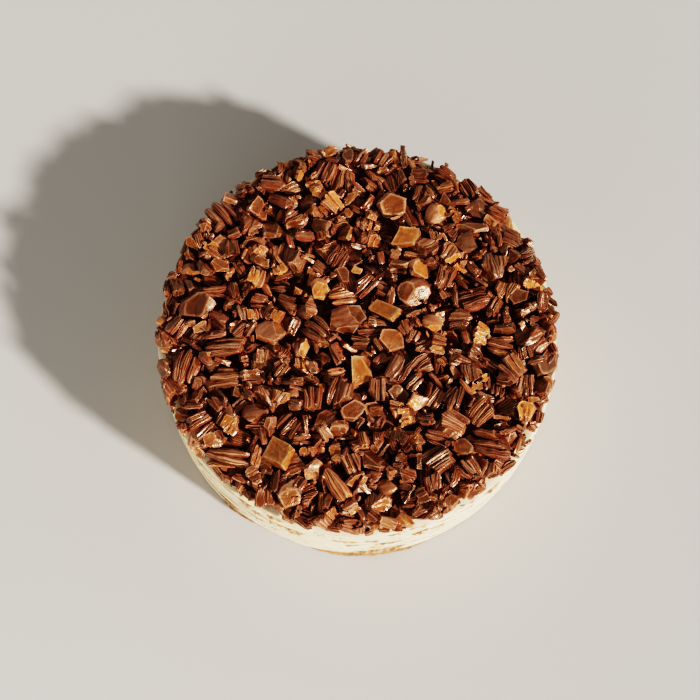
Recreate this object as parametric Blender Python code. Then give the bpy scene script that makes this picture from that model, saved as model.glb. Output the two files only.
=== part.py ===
"""A round mille crepe cake: thin crepes and cream in turn under a heap of glazed pecan pieces.

The origin is the middle of the cake's base and +Z is up. All lengths are in metres. Twelve crepes
and twelve layers of cream are flat discs with uneven edges, each its own solid. The nuts are cut
pieces dropped one after another on a low core, and fused with it into one solid.
"""

import math
import random

import bmesh
import bpy
import numpy as np
from mathutils import Euler, Matrix, Vector

MM = 0.001

# The stack of crepes and cream.
BASE_RADIUS = 103.0 * MM
SIDE_TAPER = 1.6 * MM
LAYER_COUNT = 12
LAYER_PITCH = 4.86 * MM
CREPE_THICKNESS = 1.4 * MM
GAP = 0.3 * MM
CREAM_THICKNESS = LAYER_PITCH - CREPE_THICKNESS - 2.0 * GAP
STACK_TOP = LAYER_COUNT * LAYER_PITCH - GAP
RIM_POINTS = 32
CREPE_INSET = 0.7 * MM
CREPE_WAVE = 0.45 * MM
CREPE_SEED = 100
CREAM_WAVE = 0.5 * MM
CREAM_SEED = 200
WAVE_COUNTS = (2, 3, 5, 8, 13)
LEAST_WAVE = 0.3

# The lowest crepe sticks out as a ledge at the front.
LEDGE_DEPTH = 2.2 * MM
LEDGE_ANGLE = math.radians(-87.0)
LEDGE_HALF_WIDTH = math.radians(19.0)
LEDGE_POWER = 4

# The core that carries the nuts: radius and height above its underside, from the middle outward,
# and how far its bumps stand up.
CORE_FLOOR = STACK_TOP + GAP
CORE_PROFILE = ((0.0, 4.6 * MM), (74.0 * MM, 4.3 * MM), (90.0 * MM, 3.2 * MM), (98.5 * MM, 0.7 * MM))
CORE_BUMP = 1.6 * MM
CORE_SUBDIVISIONS = 3
CORE_SNAP = 0.01

# The heap of nuts.
HEAP_TOP = 75.5 * MM
HEAP_FALL = 2.0 * MM
HEAP_FALL_POWER = 4
NUT_REACH = 102.8 * MM
RULE_COUNT = 212
LARGEST_NUT = 19.5 * MM
SMALLEST_NUT = 13.0 * MM
LENGTH_POWER = 0.6
NUT_FLOOR = CORE_FLOOR + 0.15 * MM
CONTACT_DEPTH = 0.9 * MM
COVER_LIMIT = 0.45
TURNS_TRIED = 4
PLACES_TRIED = 24
PLACE_SPREAD = 14.0 * MM
SPREAD_COST = 0.12
INWARD_STEP = 0.01
RIM_SHARE = 0.36
GOLDEN_ANGLE = math.pi * (3.0 - math.sqrt(5.0))
SLOT_STEP = 37
RING_COUNT = 40
RING_RADIUS = 96.0 * MM
RING_LENGTHS = (12.0 * MM, 17.0 * MM)
RING_SWING = math.radians(32.0)
RING_SPREAD = 2.5 * MM
RING_JITTER = 0.3
MARKED_TILT = 0.16
RULE_TILT = 0.4
NUT_SEED = 41
CELL = 1.0 * MM
FIELD_CELLS = 115
FACET_GROWTH = 1.2

# The cuts of a nut piece: how far each turns and lifts by chance, in degrees, how far its depth
# varies, from what growth on a piece counts as boxy, and how upright a cut is taken to be a wall.
TURN_WOBBLE = 16.0
LIFT_WOBBLE = 9.0
DEPTH_WOBBLE = (0.9, 1.06)
BOXY_GROWTH = 1.3
UPRIGHT = 0.02

# Each kind of nut piece: width and thickness for a length of 1, how far its rounded body would
# reach past the cuts, and the cuts as (turn, lift, depth): the direction that a cut faces in
# degrees, and its depth as a share of the half size there.
KINDS = {
    "chunk": (0.66, 0.52, 1.06, ((4, 12, 0.82), (176, -8, 0.80), (80, -78, 0.62))),
    "half": (0.56, 0.40, 1.0, ((90, -88, 0.25), (10, 25, 0.93))),
    "block": (0.62, 0.44, 1.45, ((0, 4, 1.0), (180, 6, 1.0), (92, 3, 1.0), (-88, -5, 1.0),
                                 (0, 88, 1.0), (0, -88, 1.0))),
    "plate": (0.72, 0.26, 1.38, ((12, 0, 0.92), (84, 6, 0.95), (156, -6, 1.0), (232, 5, 0.86),
                                 (300, 0, 0.95), (0, 86, 1.0), (0, -88, 1.0))),
    "wedge": (0.74, 0.52, 1.2, ((35, 24, 0.72), (150, 12, 0.80), (268, 18, 0.74), (0, -82, 0.85))),
    "dome": (0.80, 0.58, 1.0, ((60, -84, 0.35),)),
    "stick": (0.34, 0.28, 1.04, ((5, 15, 0.86), (175, 10, 0.9), (90, -70, 0.7))),
}
RING_KINDS = ("chunk", "half", "wedge", "chunk", "plate")
RULE_KINDS = ("chunk", "wedge", "chunk", "half", "chunk", "plate", "wedge", "chunk", "stick", "dome")

# Nut pieces that stand out, by hand: kind, place across and back in mm, turn in degrees, and
# length and width in mm.
MARKED_NUTS = (
    ("block", 14, 10, -30, 15.5, 7.5), ("plate", -5, 5, 22, 19, 12), ("plate", 17, -5, 0, 12, 11.5),
    ("block", 1, -21, 97, 15.5, 8.5), ("dome", 28, 20, -20, 18, 14), ("half", -8, 17, 12, 14.5, 11),
    ("wedge", -24, 12, 110, 9, 7), ("wedge", -15, 42, -30, 11, 10), ("block", 25, 49, -15, 13, 9.5),
    ("wedge", 47, 40, 20, 11, 9), ("chunk", 44, 28, 75, 15.5, 8.5), ("dome", 37, 3, -30, 11, 9.5),
    ("chunk", 28, -3, 70, 9, 6.5), ("stick", 32, -8, 15, 10, 4), ("chunk", 50, -15, -10, 14.5, 8.5),
    ("chunk", 32, -18, 20, 13, 9.5), ("half", 20, -20, 60, 16.5, 12), ("wedge", -29, -9, 60, 11.5, 9.5),
    ("wedge", -18, -15, -60, 12, 7.5), ("half", -21, 0, -30, 16, 12), ("chunk", -36, 14, -15, 11.5, 9.5),
    ("chunk", -39, -20, 60, 11.5, 9), ("dome", -32, -33, 0, 6.5, 6), ("wedge", -39, -34, 30, 9.5, 9.5),
    ("chunk", -23, -36, 80, 14.5, 8.5), ("half", -9, -33, 70, 18.5, 14), ("chunk", 9, -31, 90, 14.5, 8.5),
    ("plate", 20, -33, -25, 11, 7), ("wedge", 18, -40, -60, 9.5, 6.5), ("chunk", 37, -34, 50, 13.5, 10),
    ("chunk", 48, -34, 60, 14, 9), ("chunk", 47, -47, -35, 16.5, 9.5), ("wedge", -16, -47, 15, 16, 8),
    ("plate", -3, -42, 30, 11.5, 8.5), ("chunk", -10, 37, 45, 13, 9.5), ("stick", -19, 33, -50, 10, 5.5),
    ("chunk", 3, 23, 45, 14.5, 10), ("chunk", 13, 22, -15, 9.5, 7.5), ("half", -39, 24, -10, 13, 7),
    ("dome", 40, 62, 15, 13, 11), ("dome", -25, 69, 0, 12.5, 7.5), ("half", -33, 78, 15, 15, 7.5),
    ("half", -16, 85, 70, 14, 11), ("half", -69, 63, -35, 20, 14), ("dome", -86, 33, 10, 12, 7.5),
    ("stick", -72, 20, 0, 16, 5.5), ("plate", -81, 13, 20, 17.5, 12), ("chunk", -50, 15, -15, 11.5, 8),
    ("chunk", -52, 28, 60, 11, 9), ("wedge", -33, 59, 20, 12, 10), ("wedge", -55, 55, 40, 11, 9),
    ("half", 13, 93, 60, 12, 9), ("wedge", 70, 34, 60, 16.5, 13), ("wedge", 75, 21, 40, 12, 8),
    ("chunk", 79, 49, -30, 13, 10), ("plate", 61, 65, 30, 11, 10), ("chunk", 72, 63, -30, 13, 7),
    ("chunk", 57, 77, -45, 12, 8), ("half", 46, 84, -40, 14, 9), ("half", 66, -58, -15, 25, 13.5),
    ("chunk", 39, -66, 40, 17, 13.5), ("wedge", 88, -6, 5, 17, 9), ("half", 71, -8, 0, 17, 9.5),
    ("chunk", 77, -20, -45, 15, 11), ("dome", 15, -79, 0, 13, 10), ("half", 61, -42, 65, 17, 11),
    ("half", -64, -66, -8, 25, 12), ("block", -39, -63, -40, 15, 12), ("dome", -51, -43, 10, 14, 10),
    ("half", -67, -24, 5, 19, 11), ("half", -86, -19, 70, 20, 14), ("stick", -11, -78, -60, 21, 8),
    ("chunk", -67, -9, 5, 23, 10), ("chunk", -78, -48, 40, 15, 12), ("half", -58, -55, -20, 13, 9),
    ("half", -34, -48, 60, 15, 12), ("plate", -44, -1, 10, 16, 9),
)

CREPE_COLOUR = (0.72, 0.44, 0.17, 1.0)
CREAM_COLOUR = (0.86, 0.79, 0.62, 1.0)
NUT_COLOUR = (0.24, 0.085, 0.028, 1.0)


def clear_scene():
    """Remove every object of the open scene."""
    for item in list(bpy.data.objects):
        bpy.data.objects.remove(item, do_unlink=True)


def new_collection(name):
    """Return a new collection in the scene."""
    collection = bpy.data.collections.new(name)
    bpy.context.scene.collection.children.link(collection)
    return collection


def new_material(name, colour, roughness):
    """Return a Principled material of one colour."""
    material = bpy.data.materials.new(name)
    material.use_nodes = True
    shader = material.node_tree.nodes["Principled BSDF"]
    shader.inputs["Base Color"].default_value = colour
    shader.inputs["Roughness"].default_value = roughness
    shader.inputs["Metallic"].default_value = 0.0
    material.diffuse_color = colour
    return material


def side_radius(height):
    """Return the mean radius of the cake's side at a height above the base."""
    return BASE_RADIUS - SIDE_TAPER * height / STACK_TOP


def rim_waves(seed, size):
    """Return a function of the angle that moves a rim in and out by about the given size."""
    draw = random.Random(seed)
    waves = [(count, draw.uniform(LEAST_WAVE, 1.0), draw.uniform(0.0, math.tau)) for count in WAVE_COUNTS]
    total = math.sqrt(sum(share * share for _, share, _ in waves))

    def offset(angle):
        return size * sum(share * math.sin(count * angle + phase) for count, share, phase in waves) / total

    return offset


def ledge(angle):
    """Return how far the lowest crepe sticks out at an angle."""
    turn = abs(math.remainder(angle - LEDGE_ANGLE, math.tau)) / LEDGE_HALF_WIDTH
    return LEDGE_DEPTH * max(0.0, 1.0 - turn ** LEDGE_POWER)


def disc(name, radius_at, bottom, half_height, edge_depth, material, collection):
    """Make a flat disc whose outline is a function of the angle; edge_depth rounds its edge out."""
    curve = bpy.data.curves.new(name, "CURVE")
    curve.dimensions = "2D"
    curve.fill_mode = "BOTH"
    curve.extrude = half_height - edge_depth
    curve.bevel_depth = edge_depth
    curve.bevel_resolution = 0
    spline = curve.splines.new("POLY")
    spline.points.add(RIM_POINTS - 1)
    spline.use_cyclic_u = True
    for index, point in enumerate(spline.points):
        angle = math.tau * index / RIM_POINTS
        radius = radius_at(angle) - edge_depth
        point.co = (radius * math.cos(angle), radius * math.sin(angle), 0.0, 1.0)
    curve.materials.append(material)
    item = bpy.data.objects.new(name, curve)
    item.location.z = bottom + half_height
    collection.objects.link(item)
    return item


def build_crepe(index, material, collection):
    """Make one crepe, numbered from 0 at the bottom."""
    bottom = index * LAYER_PITCH
    mean = side_radius(bottom) - CREPE_INSET
    waves = rim_waves(CREPE_SEED + index, CREPE_WAVE)

    def radius_at(angle):
        return mean + waves(angle) + (ledge(angle) if index == 0 else 0.0)

    half_height = 0.5 * CREPE_THICKNESS
    disc(f"crepe_{index + 1:02d}", radius_at, bottom, half_height, 0.0, material, collection)


def build_cream(index, material, collection):
    """Make the layer of cream on one crepe, with its edge bulging out."""
    bottom = index * LAYER_PITCH + CREPE_THICKNESS + GAP
    mean = side_radius(bottom)
    waves = rim_waves(CREAM_SEED + index, CREAM_WAVE)

    def radius_at(angle):
        return mean + waves(angle)

    half_height = 0.5 * CREAM_THICKNESS
    disc(f"cream_{index + 1:02d}", radius_at, bottom, half_height, half_height, material, collection)


def direction(turn, lift):
    """Return the unit vector at a turn about Z and a lift above the XY plane, in degrees."""
    turn = math.radians(turn)
    lift = math.radians(lift)
    return Vector((math.cos(lift) * math.cos(turn), math.cos(lift) * math.sin(turn), math.sin(lift)))


class Nut:
    """One cut piece of nut: an ellipsoid body less what its flat cuts take off."""

    def __init__(self, kind, length, width, draw):
        share, depth, growth, cuts = KINDS[kind]
        width = width or length * share
        half = Vector((0.5 * length, 0.5 * width, 0.5 * min(length * depth, width * depth / share)))
        self.body = half * growth
        self.cuts = []
        for turn, lift, reach in cuts:
            turn += draw.uniform(-TURN_WOBBLE, TURN_WOBBLE)
            lift += draw.uniform(-LIFT_WOBBLE, LIFT_WOBBLE)
            facing = direction(turn, lift)
            support = math.sqrt(sum((facing[axis] * half[axis]) ** 2 for axis in range(3)))
            corner = sum(abs(facing[axis]) * half[axis] for axis in range(3))
            distance = reach * (support if growth < BOXY_GROWTH else 0.5 * (support + corner))
            self.cuts.append((facing, distance * draw.uniform(*DEPTH_WOBBLE)))
        self.turn = Matrix.Identity(3)
        self.place = Vector((0.0, 0.0, 0.0))

    def footprint(self, turn):
        """Return the cells that the turned piece covers, with its top and underside over each."""
        frame = np.array(turn)
        body = np.array(self.body)
        spread = frame @ np.diag(body ** 2) @ frame.T
        shape = frame @ np.diag(body ** -2.0) @ frame.T
        reach = [int(math.sqrt(spread[axis, axis]) / CELL) + 1 for axis in range(2)]
        cols, rows = np.mgrid[-reach[0]:reach[0] + 1, -reach[1]:reach[1] + 1]
        x = cols * CELL
        y = rows * CELL
        across = shape[0, 2] * x + shape[1, 2] * y
        flat = shape[0, 0] * x * x + 2.0 * shape[0, 1] * x * y + shape[1, 1] * y * y - 1.0
        root = across * across - shape[2, 2] * flat
        inside = root > 0.0
        root = np.sqrt(np.maximum(root, 0.0))
        top = (root - across) / shape[2, 2]
        under = (-root - across) / shape[2, 2]
        for facing, distance in self.cuts:
            nx, ny, nz = frame @ np.array(facing)
            limit = distance - nx * x - ny * y
            if abs(nz) < UPRIGHT:
                inside &= limit > 0.0
            elif nz > 0.0:
                top = np.minimum(top, limit / nz)
            else:
                under = np.maximum(under, limit / nz)
        inside &= top > under
        return cols[inside], rows[inside], top[inside], under[inside]

    def mesh(self, name):
        """Return a coarse mesh of the piece: an icosahedron, its corners drawn in to the cuts."""
        shape = bmesh.new()
        bmesh.ops.create_icosphere(shape, subdivisions=1, radius=FACET_GROWTH)
        bmesh.ops.transform(shape, matrix=Matrix.Diagonal(self.body.to_4d()), verts=shape.verts)
        for vert in shape.verts:
            for facing, distance in self.cuts:
                reach = facing.dot(vert.co)
                if reach > distance:
                    vert.co *= distance / reach
        bmesh.ops.transform(shape, matrix=Matrix.Translation(self.place) @ self.turn.to_4x4(),
                            verts=shape.verts)
        for vert in shape.verts:
            vert.co.z = max(vert.co.z, NUT_FLOOR)
        mesh = bpy.data.meshes.new(name)
        shape.to_mesh(mesh)
        shape.free()
        return mesh


class Heap:
    """The height of what has been piled up so far, on a square field of cells."""

    def __init__(self):
        steps = np.arange(-FIELD_CELLS, FIELD_CELLS + 1) * CELL
        across, back = np.meshgrid(steps, steps, indexing="ij")
        self.radius = np.hypot(across, back)
        self.base = CORE_FLOOR + core_rise(self.radius)
        self.height = self.base.copy()
        self.marked = np.zeros(self.radius.shape, dtype=bool)
        self.nuts = []

    def rest(self, footprint, col, row):
        """Return the height at which a piece comes to rest at a cell, and the cells that it covers."""
        cols = footprint[0] + col + FIELD_CELLS
        rows = footprint[1] + row + FIELD_CELLS
        if cols.min() < 0 or rows.min() < 0 or max(cols.max(), rows.max()) > 2 * FIELD_CELLS:
            return None
        if self.radius[cols, rows].max() > NUT_REACH:
            return None
        height = (self.height[cols, rows] - footprint[3]).max() - CONTACT_DEPTH
        lowest = CORE_FLOOR - footprint[3].min()
        return max(height, lowest), (cols, rows)

    def settle(self, nut, turn, footprint, height, cells, col, row, marked):
        """Leave a piece where it came to rest."""
        nut.turn = turn
        nut.place = Vector((col * CELL, row * CELL, height))
        self.height[cells] = np.maximum(self.height[cells], footprint[2] + height)
        if marked:
            self.marked[cells] = True
        self.nuts.append(nut)

    def ceiling(self, distance):
        """Return the height that no piece reaches past at a distance from the middle."""
        return HEAP_TOP - HEAP_FALL * (distance / NUT_REACH) ** HEAP_FALL_POWER

    def drop_marked(self, nut, across, back, yaw, draw):
        """Lay a piece at a given place and turn, with the small tilt that lets it lie lowest."""
        best = None
        for _ in range(TURNS_TRIED):
            tilt = Euler((draw.gauss(0.0, MARKED_TILT), draw.gauss(0.0, MARKED_TILT), 0.0))
            turn = Matrix.Rotation(yaw, 3, "Z") @ tilt.to_matrix()
            footprint = nut.footprint(turn)
            resting = None
            inward = 1.0
            while resting is None:
                col = round(across * inward / CELL)
                row = round(back * inward / CELL)
                resting = self.rest(footprint, col, row)
                inward -= INWARD_STEP
            if best is None or resting[0] < best[2]:
                best = (turn, footprint, *resting, col, row)
        turn, footprint, height, cells, col, row = best
        height = min(height, self.ceiling(math.hypot(col, row) * CELL) - footprint[2].max())
        self.settle(nut, turn, footprint, height, cells, col, row, True)

    def drop_near(self, nut, across, back, draw, yaw=0.0, swing=math.pi, reach=PLACE_SPREAD):
        """Try a piece at several places and turns round a point, and leave it where it lies lowest."""
        best = None
        for _ in range(TURNS_TRIED):
            tilt = (draw.gauss(0.0, RULE_TILT), draw.gauss(0.0, RULE_TILT))
            turn = Euler((*tilt, yaw + draw.uniform(-swing, swing))).to_matrix()
            footprint = nut.footprint(turn)
            for attempt in range(PLACES_TRIED):
                spread = reach * (attempt + 1) / PLACES_TRIED
                col = round((across + draw.uniform(-spread, spread)) / CELL)
                row = round((back + draw.uniform(-spread, spread)) / CELL)
                resting = self.rest(footprint, col, row)
                if resting is None:
                    continue
                height, cells = resting
                ceiling = self.ceiling(math.hypot(col, row) * CELL)
                if self.marked[cells].mean() > COVER_LIMIT or height + footprint[2].max() > ceiling:
                    continue
                score = height - self.base[col + FIELD_CELLS, row + FIELD_CELLS] + spread * SPREAD_COST
                if best is None or score < best[0]:
                    best = (score, turn, footprint, height, cells, col, row)
        if best:
            self.settle(nut, *best[1:], False)

    def ring(self, draw):
        """Drop a ring of pieces along the rim, turned more or less along it."""
        for index in range(RING_COUNT):
            angle = math.tau * (index + draw.uniform(-RING_JITTER, RING_JITTER)) / RING_COUNT
            nut = Nut(RING_KINDS[index % len(RING_KINDS)], draw.uniform(*RING_LENGTHS), None, draw)
            self.drop_near(nut, RING_RADIUS * math.cos(angle), RING_RADIUS * math.sin(angle), draw,
                           angle + 0.5 * math.pi, RING_SWING, RING_SPREAD)

    def scatter(self, lengths, draw):
        """Drop one piece of each length, spread evenly over the heap along a sunflower spiral."""
        count = len(lengths)
        for index, length in enumerate(lengths):
            slot = (index * SLOT_STEP) % count
            distance = (NUT_REACH - RIM_SHARE * length) * math.sqrt((slot + 0.5) / count)
            angle = slot * GOLDEN_ANGLE
            nut = Nut(RULE_KINDS[index % len(RULE_KINDS)], length, None, draw)
            self.drop_near(nut, distance * math.cos(angle), distance * math.sin(angle), draw)


def pile_nuts():
    """Return the nut pieces, piled up: a bed, then the marked pieces, then more between them."""
    draw = random.Random(NUT_SEED)
    heap = Heap()
    lengths = [LARGEST_NUT + (SMALLEST_NUT - LARGEST_NUT) * (index / (RULE_COUNT - 1)) ** LENGTH_POWER
               for index in range(RULE_COUNT)]
    heap.ring(draw)
    heap.scatter(lengths[0::2], draw)
    for kind, across, back, yaw, length, width in MARKED_NUTS:
        nut = Nut(kind, length * MM, width * MM, draw)
        heap.drop_marked(nut, across * MM, back * MM, math.radians(yaw), draw)
    heap.scatter(lengths[1::2], draw)
    return heap.nuts


def core_rise(radius):
    """Return the height of the core above its underside at a radius."""
    radii, rises = zip(*CORE_PROFILE)
    return np.interp(radius, radii, rises, right=0.0)


def build_core(name, material, collection):
    """Make the low bumpy core: the upper half of an icosphere, spread out flat over the cake."""
    draw = random.Random(NUT_SEED)
    shape = bmesh.new()
    bmesh.ops.create_icosphere(shape, subdivisions=CORE_SUBDIVISIONS, radius=1.0)
    everything = shape.verts[:] + shape.edges[:] + shape.faces[:]
    bmesh.ops.bisect_plane(shape, geom=everything, dist=CORE_SNAP, plane_no=(0.0, 0.0, -1.0),
                           clear_outer=True)
    rim = [edge for edge in shape.edges if edge.is_boundary]
    filled = bmesh.ops.holes_fill(shape, edges=rim, sides=0)["faces"]
    low = {vert for face in filled for vert in face.verts}
    for vert in shape.verts:
        radius = CORE_PROFILE[-1][0] * math.sqrt(1.0 - vert.co.z)
        angle = math.atan2(vert.co.y, vert.co.x)
        height = 0.0 if vert in low else float(core_rise(radius)) + draw.uniform(0.0, CORE_BUMP)
        vert.co = (radius * math.cos(angle), radius * math.sin(angle), CORE_FLOOR + height)
    bmesh.ops.recalc_face_normals(shape, faces=shape.faces)
    mesh = bpy.data.meshes.new(name)
    shape.to_mesh(mesh)
    shape.free()
    mesh.materials.append(material)
    core = bpy.data.objects.new(name, mesh)
    collection.objects.link(core)
    return core


def keep_largest_body(mesh):
    """Drop loose scraps and fill sealed hollows: only the largest closed surface stays."""
    shape = bmesh.new()
    shape.from_mesh(mesh)
    left = set(shape.verts)
    bodies = []
    while left:
        body = {left.pop()}
        front = list(body)
        while front:
            vert = front.pop()
            for edge in vert.link_edges:
                other = edge.other_vert(vert)
                if other in left:
                    left.remove(other)
                    body.add(other)
                    front.append(other)
        bodies.append(body)
    largest = max(bodies, key=len)
    extra = [vert for body in bodies if body is not largest for vert in body]
    bmesh.ops.delete(shape, geom=extra, context="VERTS")
    shape.to_mesh(mesh)
    shape.free()


def build_topping(material, collection):
    """Make the heap of nuts: the core with every piece fused on, as one solid."""
    topping = build_core("pecan_topping", material, collection)
    pieces = new_collection("loose_pieces")
    for index, nut in enumerate(pile_nuts()):
        name = f"loose_{index:03d}"
        pieces.objects.link(bpy.data.objects.new(name, nut.mesh(name)))
    union = topping.modifiers.new("fuse", "BOOLEAN")
    union.operation = "UNION"
    union.operand_type = "COLLECTION"
    union.collection = pieces
    union.solver = "EXACT"
    bpy.context.view_layer.update()
    evaluated = topping.evaluated_get(bpy.context.evaluated_depsgraph_get())
    fused = bpy.data.meshes.new_from_object(evaluated)
    topping.modifiers.clear()
    topping.data = fused
    for item in list(pieces.objects):
        bpy.data.objects.remove(item, do_unlink=True)
    bpy.data.collections.remove(pieces)
    keep_largest_body(fused)


def main():
    """Build the whole cake."""
    clear_scene()
    collection = new_collection("mille_crepe_cake")
    crepe = new_material("crepe", CREPE_COLOUR, 0.7)
    cream = new_material("cream", CREAM_COLOUR, 0.55)
    nut = new_material("glazed_pecan", NUT_COLOUR, 0.3)
    for index in range(LAYER_COUNT):
        build_crepe(index, crepe, collection)
        build_cream(index, cream, collection)
    build_topping(nut, collection)


main()
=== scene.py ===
"""A round mille crepe cake dressed for the camera: scraped cream, crepe edges and glazed nuts.

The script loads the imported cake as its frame, replaces every solid with a finer piece in the same
place, and adds a plain floor, soft light and a camera. All lengths are in metres, the middle of
the cake's base is the origin, and +Z is up.
"""

import logging
import math
import random
from collections.abc import Sequence
from dataclasses import dataclass, field
from enum import Enum

import bmesh
import bpy
import numpy as np
from mathutils import Euler, Matrix, Vector


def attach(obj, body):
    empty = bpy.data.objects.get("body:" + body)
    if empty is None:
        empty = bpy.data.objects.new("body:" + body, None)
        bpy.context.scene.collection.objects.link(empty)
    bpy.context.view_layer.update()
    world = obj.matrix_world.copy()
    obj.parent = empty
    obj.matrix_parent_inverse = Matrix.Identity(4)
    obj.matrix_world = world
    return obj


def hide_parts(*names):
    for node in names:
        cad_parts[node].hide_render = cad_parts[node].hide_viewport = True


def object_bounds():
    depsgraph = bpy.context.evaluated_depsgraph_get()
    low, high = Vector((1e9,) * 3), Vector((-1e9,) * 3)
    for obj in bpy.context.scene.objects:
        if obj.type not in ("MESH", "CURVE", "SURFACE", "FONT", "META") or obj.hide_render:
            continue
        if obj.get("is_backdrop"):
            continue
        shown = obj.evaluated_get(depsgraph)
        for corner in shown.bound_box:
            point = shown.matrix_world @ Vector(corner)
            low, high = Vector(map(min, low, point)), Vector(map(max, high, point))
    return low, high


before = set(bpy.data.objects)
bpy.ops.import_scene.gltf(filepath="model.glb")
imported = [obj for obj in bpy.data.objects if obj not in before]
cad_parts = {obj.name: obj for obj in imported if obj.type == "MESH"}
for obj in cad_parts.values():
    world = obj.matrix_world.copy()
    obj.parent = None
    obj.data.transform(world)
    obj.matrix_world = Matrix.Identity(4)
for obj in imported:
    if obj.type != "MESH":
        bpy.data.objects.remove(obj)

Pair = tuple[float, float]
Triple = tuple[float, float, float]

MM = 0.001
SHARP_ANGLE = math.radians(38.0)
LEAST_WAVE = 0.3
MOTTLE_SWING = 1.6
LOG = logging.getLogger("mille_crepe_cake")
LOW_CORNER, HIGH_CORNER = (np.array(corner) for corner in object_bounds())

# What stands for a groove's depth inside a broken face of a nut: near its rim, and in its core.
FACE_RIM = -1.0
FACE_CORE = -2.0


# Shared helpers


def ripple(angles: np.ndarray, seed: int, size: float,
           counts: Sequence[int] = (2, 3, 5, 8, 13)) -> np.ndarray:
    """Return a smooth offset round a circle.

    Args:
        angles: angles in radians.
        seed: picks the waves.
        size: root mean square size of the offset, times the square root of two.
        counts: how many waves of each sort go round the circle.

    Returns:
        One offset for each angle.
    """
    draw = random.Random(seed)
    waves = [(count, draw.uniform(LEAST_WAVE, 1.0), draw.uniform(0.0, math.tau))
             for count in counts]
    total = math.sqrt(sum(share * share for _, share, _ in waves))
    height = sum(share * np.sin(count * angles + phase) for count, share, phase in waves)
    return size * height / total


def turn_from(angles: np.ndarray, middle: float) -> np.ndarray:
    """Return how far angles in radians are from a middle in degrees, in degrees."""
    return np.abs(np.remainder(np.degrees(angles) - middle + 180.0, 360.0) - 180.0)


def smooth_step(values: np.ndarray) -> np.ndarray:
    """Return an S-curve of values from 0 to 1, held at 0 and 1 outside them."""
    held = np.clip(values, 0.0, 1.0)
    return held * held * (3.0 - 2.0 * held)


def held_below(values: np.ndarray, start: float, room: float) -> np.ndarray:
    """Return values eased off past a start, so that they stay within some room of it."""
    past = np.maximum(0.0, values - start)
    return np.minimum(values, start) + room * (1.0 - np.exp(-past / room))


def new_piece(name: str, points: np.ndarray, faces: list, material: bpy.types.Material,
              nodes: Sequence[str], marks: np.ndarray | None = None,
              grain: np.ndarray | None = None) -> None:
    """Make a smooth mesh object that rides on the cake and stands for some of its solids.

    Args:
        name: name of the object.
        points: one row of x, y and z for each point.
        faces: lists of point numbers.
        material: its finish.
        nodes: the solids that it replaces.
        marks: four numbers that the finish reads, for each point or each corner of each face.
        grain: for each point, its place in its own piece, with the first axis along the grain.
    """
    mesh = bpy.data.meshes.new(name)
    mesh.from_pydata(np.clip(points, LOW_CORNER, HIGH_CORNER).tolist(), [], faces)
    mesh.polygons.foreach_set("use_smooth", np.ones(len(mesh.polygons), dtype=bool))
    if marks is not None:
        domain = "POINT" if len(marks) == len(points) else "CORNER"
        layer = mesh.attributes.new("marks", "FLOAT_COLOR", domain)
        layer.data.foreach_set("color", marks.astype(np.float32).ravel())
        mesh.set_sharp_from_angle(angle=SHARP_ANGLE)
    if grain is not None:
        layer = mesh.attributes.new("grain", "FLOAT_VECTOR", "POINT")
        layer.data.foreach_set("vector", grain.astype(np.float32).ravel())
    mesh.materials.append(material)
    mesh.update()
    piece = bpy.data.objects.new(name, mesh)
    bpy.context.scene.collection.objects.link(piece)
    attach(piece, "root")
    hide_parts(*nodes)
    triangles = sum(len(face) - 2 for face in faces)
    LOG.info("%s: %d points, %d triangles", name, len(points), triangles)


def ring_faces(rings: int, around: int) -> list:
    """Return the faces of a closed solid made of rings, from its bottom cap up to its top cap.

    Args:
        rings: how many rings there are.
        around: how many points each ring has.

    Returns:
        Lists of point numbers, with the rings one after another.
    """
    steps = np.arange(around)
    following = (steps + 1) % around
    faces: list = [steps[::-1].tolist()]
    for ring in range(rings - 1):
        low = ring * around
        high = low + around
        quads = [low + steps, low + following, high + following, high + steps]
        faces += np.stack(quads, axis=1).tolist()
    faces.append(((rings - 1) * around + steps).tolist())
    return faces


def ring_points(angles: np.ndarray, rings: Sequence[tuple]) -> np.ndarray:
    """Return the points of rings, one ring after another.

    Args:
        angles: the angles of the points round each ring.
        rings: a radius and a height for each ring, as numbers or as arrays round the ring.

    Returns:
        One row of x, y and z for each point.
    """
    flat = np.ones_like(angles)
    return np.concatenate([
        np.stack([radius * np.cos(angles), radius * np.sin(angles), height * flat], axis=1)
        for radius, height in rings])


def as_marks(values: np.ndarray, second: float = 0.0) -> np.ndarray:
    """Return a mark for each point, and one for them all, as the four numbers that a mesh keeps."""
    blank = np.zeros_like(values)
    return np.stack([values, blank + second, blank, blank + 1.0], axis=1)


# Finishes


class Palette(Enum):
    """The colours of the cake, linear."""

    NUT_SKIN = ((0.152, 0.052, 0.027), (0.204, 0.085, 0.047), (0.248, 0.096, 0.049))
    NUT_FLESH = ((0.104, 0.032, 0.0125), (0.235, 0.078, 0.028), (0.430, 0.150, 0.042))
    # Painted highlight: the paler colour given to ridge crests and to the rims of broken faces.
    NUT_EDGE = ((0.420, 0.200, 0.115), (0.550, 0.300, 0.180), (0.720, 0.390, 0.200))
    # Painted shade: the dark colour given to grooves, to the sides where strands meet and to deep
    # gaps in the heap.
    NUT_GROOVE = (0.215, 0.0460, 0.0220)
    GLAZE = (0.82, 0.57, 0.40)
    CARAMEL = (0.130, 0.0440, 0.0230)
    CREAM = (0.82, 0.675, 0.462)
    CREAM_SHADE = (0.68, 0.50, 0.275)
    CREPE_SMEAR = (0.52, 0.29, 0.13)
    CREPE = (0.46, 0.235, 0.105)
    CREPE_BROWN = (0.23, 0.088, 0.034)


def rgba(colour: Sequence[float]) -> tuple:
    """Return a colour with full alpha."""
    return (*colour, 1.0)


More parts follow.
